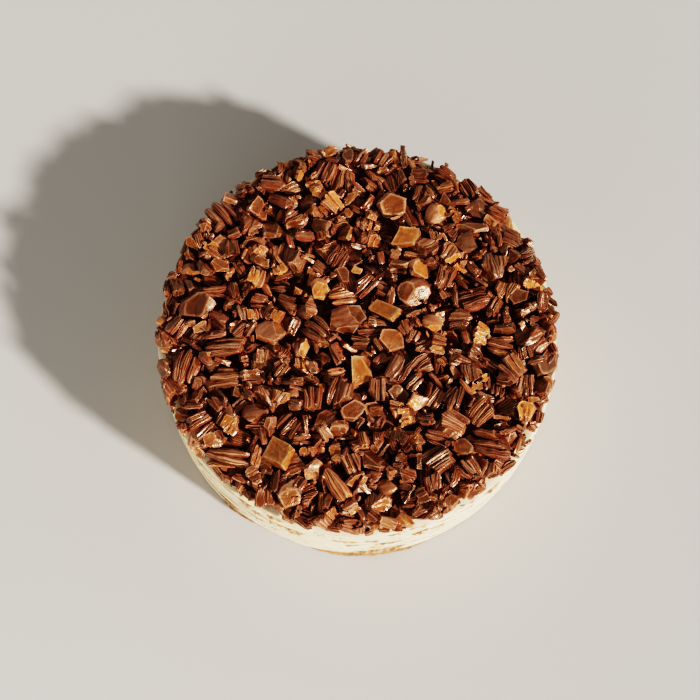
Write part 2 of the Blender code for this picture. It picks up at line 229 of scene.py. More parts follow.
class NodeBench:
    """Places nodes in a node tree and links them."""

    def __init__(self, tree: bpy.types.NodeTree) -> None:
        """Work on a node tree."""
        self.tree = tree

    def fill(self, node: bpy.types.Node, inputs: dict) -> None:
        """Set a node's inputs.

        Args:
            node: the node.
            inputs: a value or a socket for each input, by name or number.
        """
        for key, value in inputs.items():
            if isinstance(value, bpy.types.NodeSocket):
                self.tree.links.new(value, node.inputs[key])
            else:
                node.inputs[key].default_value = value

    def add(self, kind: str, inputs: dict | None = None, **settings: object) -> bpy.types.Node:
        """Add a node.

        Args:
            kind: the node's type without the leading ShaderNode.
            inputs: a value or a socket for each input, by name or number.
            settings: values for the node's own properties.

        Returns:
            The node.
        """
        node = self.tree.nodes.new("ShaderNode" + kind)
        for key, value in settings.items():
            setattr(node, key, value)
        self.fill(node, inputs or {})
        return node

    def group(self, tree: bpy.types.NodeTree, inputs: dict) -> bpy.types.NodeSocket:
        """Place a node group.

        Args:
            tree: the group, which has one output.
            inputs: a value or a socket for each input, by name.

        Returns:
            The output.
        """
        return self.add("Group", inputs, node_tree=tree).outputs[0]

    def mix(self, share: object, first: object, second: object,
            blend: str = "MIX") -> bpy.types.NodeSocket:
        """Return the mix of two colours by a share."""
        node = self.add("Mix", {0: share, 6: first, 7: second}, data_type="RGBA", blend_type=blend)
        return node.outputs[2]

    def spread(self, value: object, low: float, high: float, start: float = 0.0,
               stop: float = 1.0) -> bpy.types.NodeSocket:
        """Return a value moved from the range start to stop into the range low to high."""
        node = self.add("MapRange", {"Value": value, "From Min": start, "From Max": stop,
                                     "To Min": low, "To Max": high})
        return node.outputs["Result"]

    def calculate(self, operation: str, *values: object) -> bpy.types.NodeSocket:
        """Return the result of a sum on one value after another."""
        return self.add("Math", dict(enumerate(values)), operation=operation).outputs[0]

    def dimmed(self, colour: object, share: object) -> bpy.types.NodeSocket:
        """Return a colour times a share."""
        return self.add("VectorMath", {0: colour, "Scale": share}, operation="SCALE").outputs[0]

    def ramp(self, value: object, colours: Sequence[tuple]) -> bpy.types.NodeSocket:
        """Return the colour at a value from 0 to 1 on an even ramp.

        Args:
            value: the value or the socket to read it from.
            colours: the colours from 0 to 1, evenly spaced.

        Returns:
            The colour.
        """
        node = self.add("ValToRGB", {"Fac": value})
        elements = node.color_ramp.elements
        while len(elements) < len(colours):
            elements.new(1.0)
        for index, (element, colour) in enumerate(zip(elements, colours)):
            element.position = index / (len(colours) - 1)
            element.color = rgba(colour)
        return node.outputs["Color"]

    def marks(self) -> tuple[bpy.types.NodeSocket, ...]:
        """Read the marks of a surface.

        Returns:
            The four marks, in order.
        """
        marks = self.add("Attribute", attribute_name="marks").outputs
        parts = self.add("SeparateColor", {"Color": marks["Color"]}).outputs
        return parts["Red"], parts["Green"], parts["Blue"], marks["Alpha"]

    def place(self, flatten: float) -> bpy.types.NodeSocket:
        """Return the place on the object, stretched in height so that patterns on it lie flat."""
        inputs = {0: self.add("TexCoord").outputs["Object"], 1: (1.0, 1.0, flatten)}
        return self.add("VectorMath", inputs, operation="MULTIPLY").outputs[0]

    def feed(self, shader: bpy.types.Node, colour: bpy.types.NodeSocket,
             roughness: bpy.types.NodeSocket, height: bpy.types.NodeSocket, depth: float) -> None:
        """Feed a shader with what changes over its surface.

        Args:
            shader: the material's shader.
            colour: its colour.
            roughness: its roughness.
            height: the height of its relief, from 0 to 1.
            depth: how far a height of 1 stands out.
        """
        bump = self.add("Bump", {"Height": height, "Distance": depth, "Strength": 1.0}).outputs[0]
        self.fill(shader, {"Base Color": colour, "Roughness": roughness, "Normal": bump})


class Effects:
    """The node groups that several finishes share."""

    def __init__(self) -> None:
        """Build the groups once."""
        self.patches = self.build_patches()
        self.mottle = self.build_mottle()
        self.relief = self.build_relief()

    @staticmethod
    def new_group(name: str, sockets: Sequence[tuple]) -> tuple[NodeBench, dict, bpy.types.Node]:
        """Start a node group.

        Args:
            name: the group's name.
            sockets: (name, "INPUT" or "OUTPUT", "Float", "Color" or "Vector") for each socket.

        Returns:
            The bench on the group, the sockets of its input by name, and its output node.
        """
        tree = bpy.data.node_groups.new(name, "ShaderNodeTree")
        for label, side, sort in sockets:
            tree.interface.new_socket(name=label, in_out=side, socket_type="NodeSocket" + sort)
        entry = {socket.name: socket for socket in tree.nodes.new("NodeGroupInput").outputs}
        return NodeBench(tree), entry, tree.nodes.new("NodeGroupOutput")

    @staticmethod
    def noise(bench: NodeBench, entry: dict, detail: float,
              roughness: float) -> bpy.types.NodeSocket:
        """Return the noise at a group's place and scale, with as much detail as given."""
        inputs = {"Vector": entry["Place"], "Scale": entry["Scale"], "Detail": detail,
                  "Roughness": roughness}
        return bench.add("TexNoise", inputs).outputs["Fac"]

    def build_patches(self) -> bpy.types.NodeTree:
        """Make the patches.

        Returns:
            A group whose mask is 1 in scattered patches with soft edges.
        """
        bench, entry, leave = self.new_group("patches", (
            ("Place", "INPUT", "Vector"), ("Scale", "INPUT", "Float"), ("Start", "INPUT", "Float"),
            ("Full", "INPUT", "Float"), ("Mask", "OUTPUT", "Float")))
        noise = self.noise(bench, entry, 4.0, 0.6)
        inputs = {"Value": noise, "From Min": entry["Start"], "From Max": entry["Full"]}
        reach = bench.add("MapRange", inputs, interpolation_type="SMOOTHSTEP")
        bench.fill(leave, {"Mask": reach.outputs["Result"]})
        return bench.tree

    def build_mottle(self) -> bpy.types.NodeTree:
        """Make the mottling.

        Returns:
            A group that makes a colour lighter and darker from place to place.
        """
        bench, entry, leave = self.new_group("mottle", (
            ("Place", "INPUT", "Vector"), ("Color", "INPUT", "Color"), ("Scale", "INPUT", "Float"),
            ("Amount", "INPUT", "Float"), ("Color", "OUTPUT", "Color")))
        noise = self.noise(bench, entry, 5.0, 0.65)
        swing = bench.spread(noise, -MOTTLE_SWING, MOTTLE_SWING)
        share = bench.calculate("MULTIPLY_ADD", swing, entry["Amount"], 1.0)
        bench.fill(leave, {"Color": bench.dimmed(entry["Color"], share)})
        return bench.tree

    def build_relief(self) -> bpy.types.NodeTree:
        """Make the relief.

        Returns:
            A group that gives a fine uneven height.
        """
        bench, entry, leave = self.new_group("relief", (
            ("Place", "INPUT", "Vector"), ("Scale", "INPUT", "Float"),
            ("Height", "OUTPUT", "Float")))
        bench.fill(leave, {"Height": self.noise(bench, entry, 6.0, 0.55)})
        return bench.tree


def new_finish(name: str) -> tuple[bpy.types.Material, NodeBench, bpy.types.Node]:
    """Start a material.

    Args:
        name: its name.

    Returns:
        The material, the bench on its nodes and its shader.
    """
    material = bpy.data.materials.new(name)
    material.use_nodes = True
    return material, NodeBench(material.node_tree), material.node_tree.nodes["Principled BSDF"]


@dataclass(frozen=True)
class NutFinish:
    """Glazed pecan: ridged brown skin, paler cut flesh and a thin gloss of caramel."""

    skin_edge: Pair = (0.25, 0.7)
    # How strong and how wide the painted highlight on crests and on the rims of broken faces is.
    rim_share: float = 0.9
    highlight_reach: float = 0.28
    # How dark the painted shade in grooves and gaps gets, and over which shade marks it comes in.
    painted_shade_share: float = 0.96
    painted_shade_reach: Pair = (0.38, 0.92)
    glaze_share: float = 0.55
    brightness: Pair = (0.66, 1.34)
    roughness: Pair = (0.46, 0.25)
    gloss: Pair = (0.12, 0.36)
    relief: float = 0.20 * MM
    swell: float = 2.4

    def build(self, effects: Effects) -> bpy.types.Material:
        """Make the material, which reads skin, shade, tone and chance from the marks.

        Args:
            effects: the shared node groups.

        Returns:
            The material.
        """
        material, bench, shader = new_finish("glazed_pecan")
        skin, shade, tone, chance = bench.marks()
        grain = bench.add("Attribute", attribute_name="grain").outputs["Vector"]
        place = bench.place(1.0)
        skin_colour, flesh_colour, highlight_colour = (
            bench.ramp(tone, colours.value)
            for colours in (Palette.NUT_SKIN, Palette.NUT_FLESH, Palette.NUT_EDGE))
        colour = bench.mix(bench.spread(skin, 0.0, 1.0, *self.skin_edge), flesh_colour, skin_colour)
        # Painted highlight: where the shade mark is low, on crests and rims of broken faces, the
        # colour turns paler.
        rim = bench.spread(shade, self.rim_share, 0.0, 0.0, self.highlight_reach)
        colour = bench.mix(rim, colour, highlight_colour)
        # Painted shade: where the shade mark is high, in grooves, between strands and deep in the
        # gaps, the colour turns dark.
        groove = bench.spread(shade, 0.0, self.painted_shade_share, *self.painted_shade_reach)
        colour = bench.mix(groove, colour, rgba(Palette.NUT_GROOVE.value))
        colour = bench.group(effects.mottle, {
            "Place": grain, "Color": colour, "Scale": 650.0, "Amount": 0.5})
        wet = bench.group(effects.patches, {
            "Place": place, "Scale": 140.0, "Start": 0.38, "Full": 0.54})
        glazed = bench.spread(wet, 0.0, self.glaze_share)
        colour = bench.mix(glazed, colour, rgba(Palette.GLAZE.value), "MULTIPLY")
        colour = bench.dimmed(colour, bench.spread(chance, *self.brightness))
        fine = bench.group(effects.relief, {"Place": grain, "Scale": 900.0})
        broad = bench.group(effects.relief, {"Place": place, "Scale": 360.0})
        height = bench.calculate("MULTIPLY_ADD", broad, self.swell, fine)
        bench.feed(shader, colour, bench.spread(wet, *self.roughness), height, self.relief)
        bench.fill(shader, {
            "Coat Weight": bench.spread(wet, *self.gloss), "Coat Roughness": 0.2,
            "Specular IOR Level": 0.85, "Specular Tint": (1.0, 0.62, 0.38, 1.0)})
        return material


@dataclass(frozen=True)
class CaramelFinish:
    """The dark set caramel that the nuts lie in."""

    roughness: Pair = (0.6, 0.3)
    relief: float = 0.5 * MM

    def build(self, effects: Effects) -> bpy.types.Material:
        """Make the material.

        Args:
            effects: the shared node groups.

        Returns:
            The material.
        """
        material, bench, shader = new_finish("set_caramel")
        place = bench.place(1.0)
        colour = bench.group(effects.mottle, {
            "Place": place, "Color": rgba(Palette.CARAMEL.value), "Scale": 300.0, "Amount": 0.6})
        height = bench.group(effects.relief, {"Place": place, "Scale": 500.0})
        wet = bench.group(effects.patches, {
            "Place": place, "Scale": 200.0, "Start": 0.4, "Full": 0.6})
        bench.feed(shader, colour, bench.spread(wet, *self.roughness), height, self.relief)
        bench.fill(shader, {"Specular Tint": (1.0, 0.55, 0.35, 1.0)})
        return material


@dataclass(frozen=True)
class CreamFinish:
    """Ivory cream, scraped smooth, with fine streaks along the layers."""

    streak_share: float = 0.7
    roughness: Pair = (0.42, 0.6)
    relief: float = 0.35 * MM

    def build(self, effects: Effects) -> bpy.types.Material:
        """Make the material, which reads how much crepe is smeared into the cream from the marks.

        Args:
            effects: the shared node groups.

        Returns:
            The material.
        """
        material, bench, shader = new_finish("scraped_cream")
        smear = bench.marks()[0]
        streaks = bench.group(effects.patches, {
            "Place": bench.place(18.0), "Scale": 45.0, "Start": 0.48, "Full": 0.62})
        crumbs = bench.group(effects.patches, {
            "Place": bench.place(5.0), "Scale": 260.0, "Start": 0.42, "Full": 0.62})
        colour = bench.mix(bench.spread(streaks, 0.0, self.streak_share), rgba(Palette.CREAM.value),
                           rgba(Palette.CREAM_SHADE.value))
        smeared = bench.calculate("MULTIPLY", smear, crumbs)
        colour = bench.mix(smeared, colour, rgba(Palette.CREPE_SMEAR.value))
        colour = bench.group(effects.mottle, {
            "Place": bench.place(3.0), "Color": colour, "Scale": 90.0, "Amount": 0.04})
        height = bench.group(effects.relief, {"Place": bench.place(9.0), "Scale": 130.0})
        bench.feed(shader, colour, bench.spread(streaks, *self.roughness), height, self.relief)
        bench.fill(shader, {
            "Subsurface Weight": 0.12, "Subsurface Radius": (1.0, 0.8, 0.5),
            "Subsurface Scale": 1.5 * MM})
        return material


@dataclass(frozen=True)
class CrepeFinish:
    """Golden crepe with browned spots and edges."""

    roughness: Pair = (0.5, 0.68)
    relief: float = 0.3 * MM

    def build(self, effects: Effects) -> bpy.types.Material:
        """Make the material, which reads how browned and how creamy the crepe is from the marks.

        Args:
            effects: the shared node groups.

        Returns:
            The material.
        """
        material, bench, shader = new_finish("browned_crepe")
        browned, creamy = bench.marks()[:2]
        spots = bench.group(effects.patches, {
            "Place": bench.place(2.5), "Scale": 160.0, "Start": 0.42, "Full": 0.58})
        brown = bench.calculate("MAXIMUM", spots, browned)
        colour = bench.mix(brown, rgba(Palette.CREPE.value), rgba(Palette.CREPE_BROWN.value))
        colour = bench.group(effects.mottle, {
            "Place": bench.place(1.0), "Color": colour, "Scale": 500.0, "Amount": 0.25})
        smears = bench.group(effects.patches, {
            "Place": bench.place(2.0), "Scale": 520.0, "Start": 0.46, "Full": 0.56})
        creamed = bench.calculate("MULTIPLY", smears, creamy)
        colour = bench.mix(creamed, colour, rgba(Palette.CREAM_SHADE.value))
        height = bench.group(effects.relief, {"Place": bench.place(1.5), "Scale": 700.0})
        bench.feed(shader, colour, bench.spread(spots, *self.roughness), height, self.relief)
        return material


# Crepes and cream


@dataclass(frozen=True)
class Opening:
    """A stretch where a crepe's edge is bare of cream: its middle and half width in degrees."""

    crepe: int
    middle: float
    half_width: float
    openness: float
    proud: float = 0.5 * MM
    steepness: float = 1.6

    def at(self, angles: np.ndarray) -> np.ndarray:
        """Return how bare the edge is at each angle, from 0 to 1."""
        inward = 1.0 - turn_from(angles, self.middle) / self.half_width
        return self.openness * smooth_step(self.steepness * inward)


@dataclass(frozen=True)
class Stack:
    """Twelve crepes with cream between them and on top.

    The ledge is where the bottom crepe stands out at the front. The fin is a thin upright ruffle
    of cream at the left. An edge's fray, shift and streak are how uneven it is. The openings at the
    sides and back, and the faint ones at the front, are drawn from ranges of their half width in
    degrees, their openness and their depth in mm. A top ring is (inward, up, share of the bump).
    """

    base_radius: float = 103.0 * MM
    side_taper: float = 1.6 * MM
    inner_share: float = 0.93
    layer_count: int = 12
    layer_pitch: float = 4.86 * MM
    crepe_thickness: float = 1.4 * MM
    gap: float = 0.3 * MM
    crepe_inset: float = 0.7 * MM
    crepe_wave: float = 0.45 * MM
    crepe_bevel: float = 0.5 * MM
    crepe_round: Pair = (0.12 * MM, 0.22 * MM)
    crepe_fray: float = 0.2 * MM
    half_fray: float = 0.6
    browning: tuple[float, ...] = (1.0, 1.0, 1.0, 0.6, 0.4, 0.4, 0.4)
    creaminess: float = 0.45
    cream_wave: float = 0.5 * MM
    ledge_depth: float = 2.2 * MM
    ledge_angle: float = -87.0
    ledge_half_width: float = 19.0
    fin_layers: tuple[int, ...] = (8, 9)
    fin_depth: float = 1.7 * MM
    fin_angle: float = -141.0
    fin_half_width: float = 0.9
    front_step: float = 0.45
    side_step: float = 1.1
    front: Pair = (-142.0, -38.0)
    lip_thickness: float = 0.3 * MM
    lip_back: float = 0.12 * MM
    lip_round: float = 0.08 * MM
    lip_play: float = 0.06 * MM
    lip_shift: float = 0.22 * MM
    wall_levels: int = 7
    wall_back: float = 0.15 * MM
    wall_fatness: float = 0.18 * MM
    wall_streak: float = 0.13 * MM
    wall_hollow: float = 0.7 * MM
    smear_reach: float = 0.3
    smear_share: float = 0.6
    smear_play: float = 0.7
    foot_rise: float = 0.1 * MM
    foot_reach: float = 0.25 * MM
    foot_back: float = 0.2 * MM
    top_bump: float = 0.12 * MM
    top_rings: tuple[Triple, ...] = (
        (0.8 * MM, 0.1 * MM, 0.0), (2.2 * MM, 0.1 * MM, 1.0), (4.5 * MM, 0.08 * MM, -1.0))
    openings: tuple[Opening, ...] = (
        Opening(0, -130.0, 14.0, 1.0, 0.8 * MM), Opening(0, -87.0, 21.0, 1.0),
        Opening(1, -131.0, 8.0, 0.8, 0.6 * MM), Opening(2, -129.0, 5.0, 0.7, 0.5 * MM),
        Opening(2, -79.0, 8.0, 0.8, 0.7 * MM), Opening(3, -76.0, 5.0, 0.7, 0.6 * MM),
        Opening(4, -85.0, 4.0, 0.7, 0.6 * MM), Opening(5, -82.0, 5.0, 0.7, 0.6 * MM),
        Opening(5, -121.0, 5.0, 0.8, 0.7 * MM), Opening(11, -123.0, 3.8, 0.8, 0.8 * MM),
        Opening(11, -101.0, 4.0, 0.7, 0.6 * MM), Opening(11, -73.0, 4.6, 0.9, 0.8 * MM),
        Opening(11, -57.0, 5.0, 0.9, 0.8 * MM), Opening(1, -83.5, 10.5, 1.0, 1.2 * MM),
        Opening(1, -124.0, 8.0, 0.4), Opening(5, -91.7, 3.4, 0.85, 0.9 * MM),
        Opening(7, -93.0, 3.8, 0.85, 0.9 * MM), Opening(8, -95.5, 4.2, 0.9, 1.1 * MM),
        Opening(8, -108.0, 3.4, 0.9, 1.1 * MM), Opening(8, -86.0, 3.4, 0.85, 0.9 * MM),
        Opening(8, -72.0, 4.2, 0.9, 1.1 * MM), Opening(8, -57.0, 3.8, 0.85, 0.8 * MM),
        Opening(9, -113.5, 4.0, 0.9, 1.2 * MM), Opening(9, -64.7, 3.6, 0.8, 0.6 * MM),
        Opening(9, -120.0, 3.0, 0.9, 0.8 * MM), Opening(10, -121.0, 4.2, 0.9, 0.9 * MM),
        Opening(10, -101.0, 3.0, 0.6), Opening(10, -79.0, 3.8, 0.8, 0.7 * MM),
        Opening(11, -114.0, 3.8, 0.9, 0.9 * MM), Opening(11, -92.8, 3.4, 0.7, 0.5 * MM),
        Opening(3, -50.0, 4.0, 0.6), Opening(2, -43.0, 4.0, 0.8), Opening(4, -115.0, 4.0, 0.5),
        Opening(6, -60.0, 3.0, 0.6), Opening(7, -67.0, 3.8, 0.7, 0.6 * MM),
        Opening(9, -48.0, 4.2, 0.8, 0.7 * MM),
    )
    rear_opening: Opening = Opening(0, 60.0, 50.0, 0.7)
    rear_count: tuple[int, int] = (5, 9)
    rear_ranges: tuple[Pair, ...] = ((2.0, 9.0), (0.35, 1.0), (0.1, 1.1))
    faint_count: int = 4
    faint_ranges: tuple[Pair, ...] = ((4.0, 13.0), (0.3, 0.6), (0.1, 0.4))
    bare_fray: float = 0.3
    proud_mean: float = 0.95
    proud_tear: float = 0.4
    nibble: float = 0.5
    nibble_limit: float = 1.2

    @property
    def top(self) -> float:
        """Height of the cream on top."""
        return self.layer_count * self.layer_pitch - self.gap

    @property
    def angles(self) -> np.ndarray:
        """The angles of the points round a layer, closer together at the front.

        Returns:
            The angles in radians.
        """
        low, high = self.front
        front = np.linspace(low, high, round((high - low) / self.front_step), endpoint=False)
        count = round((360.0 + low - high) / self.side_step)
        rest = np.linspace(high, low + 360.0, count, endpoint=False)
        return np.radians(np.concatenate([front, rest]))

    @property
    def inner(self) -> np.ndarray:
        """The radius at which the faces of a layer go flat, for each of its points."""
        return np.full(len(self.angles), self.inner_share * self.base_radius)

    def side_radius(self, height: float) -> float:
        """Return the mean radius of the cake's side at a height."""
        return self.base_radius - self.side_taper * height / self.top

    def crepe_edge(self, index: int) -> np.ndarray:
        """Find the edge of a crepe under the cream.

        Args:
            index: the crepe, numbered from 0 at the bottom.

        Returns:
            Its radius at each of its points.
        """
        mean = self.side_radius(index * self.layer_pitch) - self.crepe_inset
        edge = mean + ripple(self.angles, 100 + index, self.crepe_wave)
        if index == 0:
            turn = turn_from(self.angles, self.ledge_angle)
            share = np.maximum(0.0, 1.0 - (turn / self.ledge_half_width) ** 4)
            edge = edge + self.ledge_depth * share
        return edge

    def cream_edge(self, index: int) -> np.ndarray:
        """Return the radius round the layer of cream on a crepe."""
        mean = self.side_radius(index * self.layer_pitch + self.crepe_thickness + self.gap)
        return mean + ripple(self.angles, 200 + index, self.cream_wave)

    @staticmethod
    def random_opening(index: int, ranges: Sequence[tuple], draw: random.Random) -> Opening:
        """Return an opening drawn from ranges of its middle, half width, openness and depth."""
        middle, half_width, openness, proud = (draw.uniform(*span) for span in ranges)
        return Opening(index, middle, half_width, openness, proud * MM)

    def all_openings(self, index: int) -> list[Opening]:
        """List the openings at a crepe: those listed, some at the back, and faint ones.

        Args:
            index: the crepe.

        Returns:
            The openings.
        """
        draw = random.Random(300 + index)
        low, high = self.front
        openings = [opening for opening in self.openings if opening.crepe == index]
        for _ in range(draw.randint(*self.rear_count)):
            ranges = ((high, low + 360.0), *self.rear_ranges)
            openings.append(self.random_opening(index, ranges, draw))
        if index == 0:
            return [*openings, self.rear_opening]
        for _ in range(self.faint_count):
            openings.append(self.random_opening(index, (self.front, *self.faint_ranges), draw))
        return openings

    def bareness(self, index: int) -> tuple[np.ndarray, np.ndarray]:
        """Find where a crepe's edge is bare of cream.

        Args:
            index: the crepe.

        Returns:
            How bare the edge is at each point, from 0 to 1, and how far it stands out there.
        """
        angles = self.angles
        bare = np.zeros(len(angles))
        proud = np.zeros(len(angles))
        for opening in self.all_openings(index):
            bare = np.maximum(bare, opening.at(angles))
            proud = np.maximum(proud, opening.at(angles) * opening.proud)
        frayed = 1.0 + ripple(angles, 400 + index, self.bare_fray, (17, 29, 47))
        torn = self.proud_mean + ripple(angles, 450 + index, self.proud_tear, (61, 97, 143, 181))
        nibbled = np.abs(ripple(angles, 470 + index, self.nibble, (53, 89, 127, 173, 199)))
        bare = np.clip(bare * frayed - nibbled * (self.nibble_limit - bare), 0.0, 1.0)
        return bare, proud * torn

    def build_crepe(self, index: int, material: bpy.types.Material) -> None:
        """Make one crepe; where its edge is bare it reaches out flush with the cream.

        Args:
            index: the crepe.
            material: its finish.
        """
        bottom = index * self.layer_pitch
        middle = bottom + 0.5 * self.crepe_thickness
        top = bottom + self.crepe_thickness
        edge = self.crepe_edge(index)
        bare, proud = self.bareness(index)
        reach = np.maximum(self.cream_edge(max(index - 1, 0)), self.cream_edge(index)) + proud
        edge = edge + bare * np.maximum(reach - edge, 0.0)
        fray = ripple(self.angles, 500 + index, self.crepe_fray, (41, 67, 97, 140, 190))
        back, rise = self.crepe_round
        shoulder = edge + self.half_fray * fray - back
        rings = ((self.inner, bottom), (edge - self.crepe_bevel, bottom), (shoulder, bottom + rise),
                 (edge + fray, middle), (shoulder, top - rise), (edge - self.crepe_bevel, top),
                 (self.inner, top))
        browned = np.repeat(self.browning, len(self.angles))
        name = f"crepe_{index + 1:02d}"
        marks = as_marks(browned, self.creaminess if index else 0.0)
        new_piece(name + "_baked", ring_points(self.angles, rings),
                  ring_faces(len(rings), len(self.angles)), material, [name], marks)

    def lip(self, index: int, seed: int, bare: np.ndarray, side: int) -> np.ndarray:
        """Find how far a layer of cream is smeared over the crepe edge beside it.

        Args:
            index: the layer of cream.
            seed: picks the lip's waves, which it shares with the lip that meets it.
            bare: how bare the crepe's edge is.
            side: 1 for the crepe below and -1 for the one above.

        Returns:
            The height of the lip at each point.
        """
        half_crepe = 0.5 * self.crepe_thickness + self.gap
        shift = ripple(self.angles, seed + index, self.lip_shift, (3, 7, 11, 19))
        return (1.0 - bare) * (half_crepe + side * shift)

    def share_up(self, level: int) -> float:
        """Return how far up its wall a level of cream is, from 0 to 1."""
        return level / (self.wall_levels - 1)

    def cream_wall(self, index: int, level: int, edge: np.ndarray, low_lip: np.ndarray,
                   bare: np.ndarray) -> np.ndarray:
        """Find the side of a layer of cream at one level.

        Args:
            index: the layer.
            level: the level, numbered from 0 at the foot of the wall.
            edge: the mean radius of the layer.
            low_lip: the radius of the lip at its foot.
            bare: how bare the edge of the crepe below is.

        Returns:
            The radius at each point.
        """
        share = self.share_up(level)
        seed = 700 + self.wall_levels * index + level
        streak = ripple(self.angles, seed, self.wall_streak, (3, 7, 13, 21, 34))
        fat = self.wall_fatness * math.sin(math.pi * share)
        wall = np.maximum(edge, low_lip * (1.0 - share) + edge * share)
        wall = wall + streak + fat - self.wall_back
        wall = wall - self.wall_hollow * bare * (1.0 - share) ** 2
        if index in self.fin_layers:
            fin = np.exp(-(turn_from(self.angles, self.fin_angle) / self.fin_half_width) ** 2)
            wall = wall + self.fin_depth * fin * math.sin(math.pi * share)
        return wall

    def smear(self, index: int, level: int) -> np.ndarray:
        """Find how much crepe is smeared into the wall of a layer of cream.

        Args:
            index: the layer.
            level: the level up its wall.

        Returns:
            How much, from 0 to 1, at each point.
        """
        share = self.share_up(level)
        thin = max(1.0 - share / self.smear_reach, 0.0)
        thin += max((share - 1.0 + self.smear_reach) / self.smear_reach, 0.0)
        patches = ripple(self.angles, 750 + index, self.smear_play, (2, 5, 11, 19, 31))
        return thin * np.clip(self.smear_share + patches, 0.0, 1.0)

    def build_cream(self, index: int, material: bpy.types.Material) -> None:
        """Make one layer of cream, with lips smeared up and down over the crepe edges beside it.

        Args:
            index: the layer, numbered as the crepe that it lies on.
            material: its finish.
        """
        angles = self.angles
        bottom = index * self.layer_pitch + self.crepe_thickness + self.gap
        top = (index + 1) * self.layer_pitch - self.gap
        edge = self.cream_edge(index)
        below = self.crepe_edge(index)
        bare_below = self.bareness(index)[0]
        down = np.maximum(self.lip_play, self.lip(index, 600, bare_below, 1))
        if index == 0:
            down = np.minimum(down, 0.5 * self.crepe_thickness + self.gap - self.foot_rise)
            down = np.where(below > edge - self.foot_reach, self.lip_play, down)
            below = np.minimum(below, edge - self.foot_back)
        low_lip = np.maximum(edge - self.lip_back, below + self.lip_thickness)
        foot = below + self.lip_play
        rings = [(self.inner, bottom), (foot, bottom), (foot, bottom - down),
                 (low_lip - self.lip_round, bottom - down)]
        if index == self.layer_count - 1:
            high = top
            bumps = ripple(angles, 800, self.top_bump, (5, 9, 17, 31))
            closing = [(edge - inward, top + rise + bump * bumps)
                       for inward, rise, bump in self.top_rings]
            closing.append((self.inner, top))
        else:
            above = self.crepe_edge(index + 1)
            up = self.lip(index, 601, self.bareness(index + 1)[0], -1) - 0.5 * self.lip_play
            high = top + np.maximum(self.lip_play, up)
            high_lip = np.maximum(edge - self.lip_back, above + self.lip_thickness)
            closing = [(high_lip - self.lip_round, high), (above + self.lip_play, high),
                       (above + self.lip_play, top), (self.inner, top)]
        smears = [np.ones(len(angles))] * len(rings)
        for level in range(self.wall_levels):
            share = self.share_up(level)
            foot, head = bottom - down + self.lip_back, high - self.lip_back
            height = foot * (1.0 - share) + head * share
            rings.append((self.cream_wall(index, level, edge, low_lip, bare_below), height))
            smears.append(self.smear(index, level))
        smears += [np.zeros(len(angles))] * len(closing)
        rings += closing
        name = f"cream_{index + 1:02d}"
        new_piece(name + "_scraped", ring_points(angles, rings),
                  ring_faces(len(rings), len(angles)), material, [name],
                  as_marks(np.concatenate(smears)))

    def build(self, effects: Effects) -> None:
        """Make every layer, from the bottom up.

        Args:
            effects: the shared node groups.
        """
        crepe = CrepeFinish().build(effects)
        cream = CreamFinish().build(effects)
        for index in range(self.layer_count):
            self.build_crepe(index, crepe)
            self.build_cream(index, cream)


class Tone(Enum):
    """The colour of a nut piece, from its brown skin to its amber flesh."""

    BROWN = 0.0
    TAN = 0.5
    AMBER = 1.0


@dataclass(frozen=True)
class NutShape:
    """The form of a kind of nut piece for a length of 1.

    A cut is (turn, lift, depth): the direction that it faces in degrees, and its depth as a share
    of the half size there. Squareness is the power of the body's outline: 2 is round, more is
    boxier. Chips is how many more flat faces are broken off at random, taper is how much one end
    may be wider than the other, and trim pulls the cuts in. Strands is how many bundles of ridges
    lie side by side in it.
    """

    width: float
    thickness: float
    growth: float
    cuts: tuple[Triple, ...]
    ridge_depth: float
    ridge_width: float
    grain: float
    squareness: Pair
    chips: int
    bend: float
    taper: float = 0.3
    trim: float = 1.0
    strands: int = 1


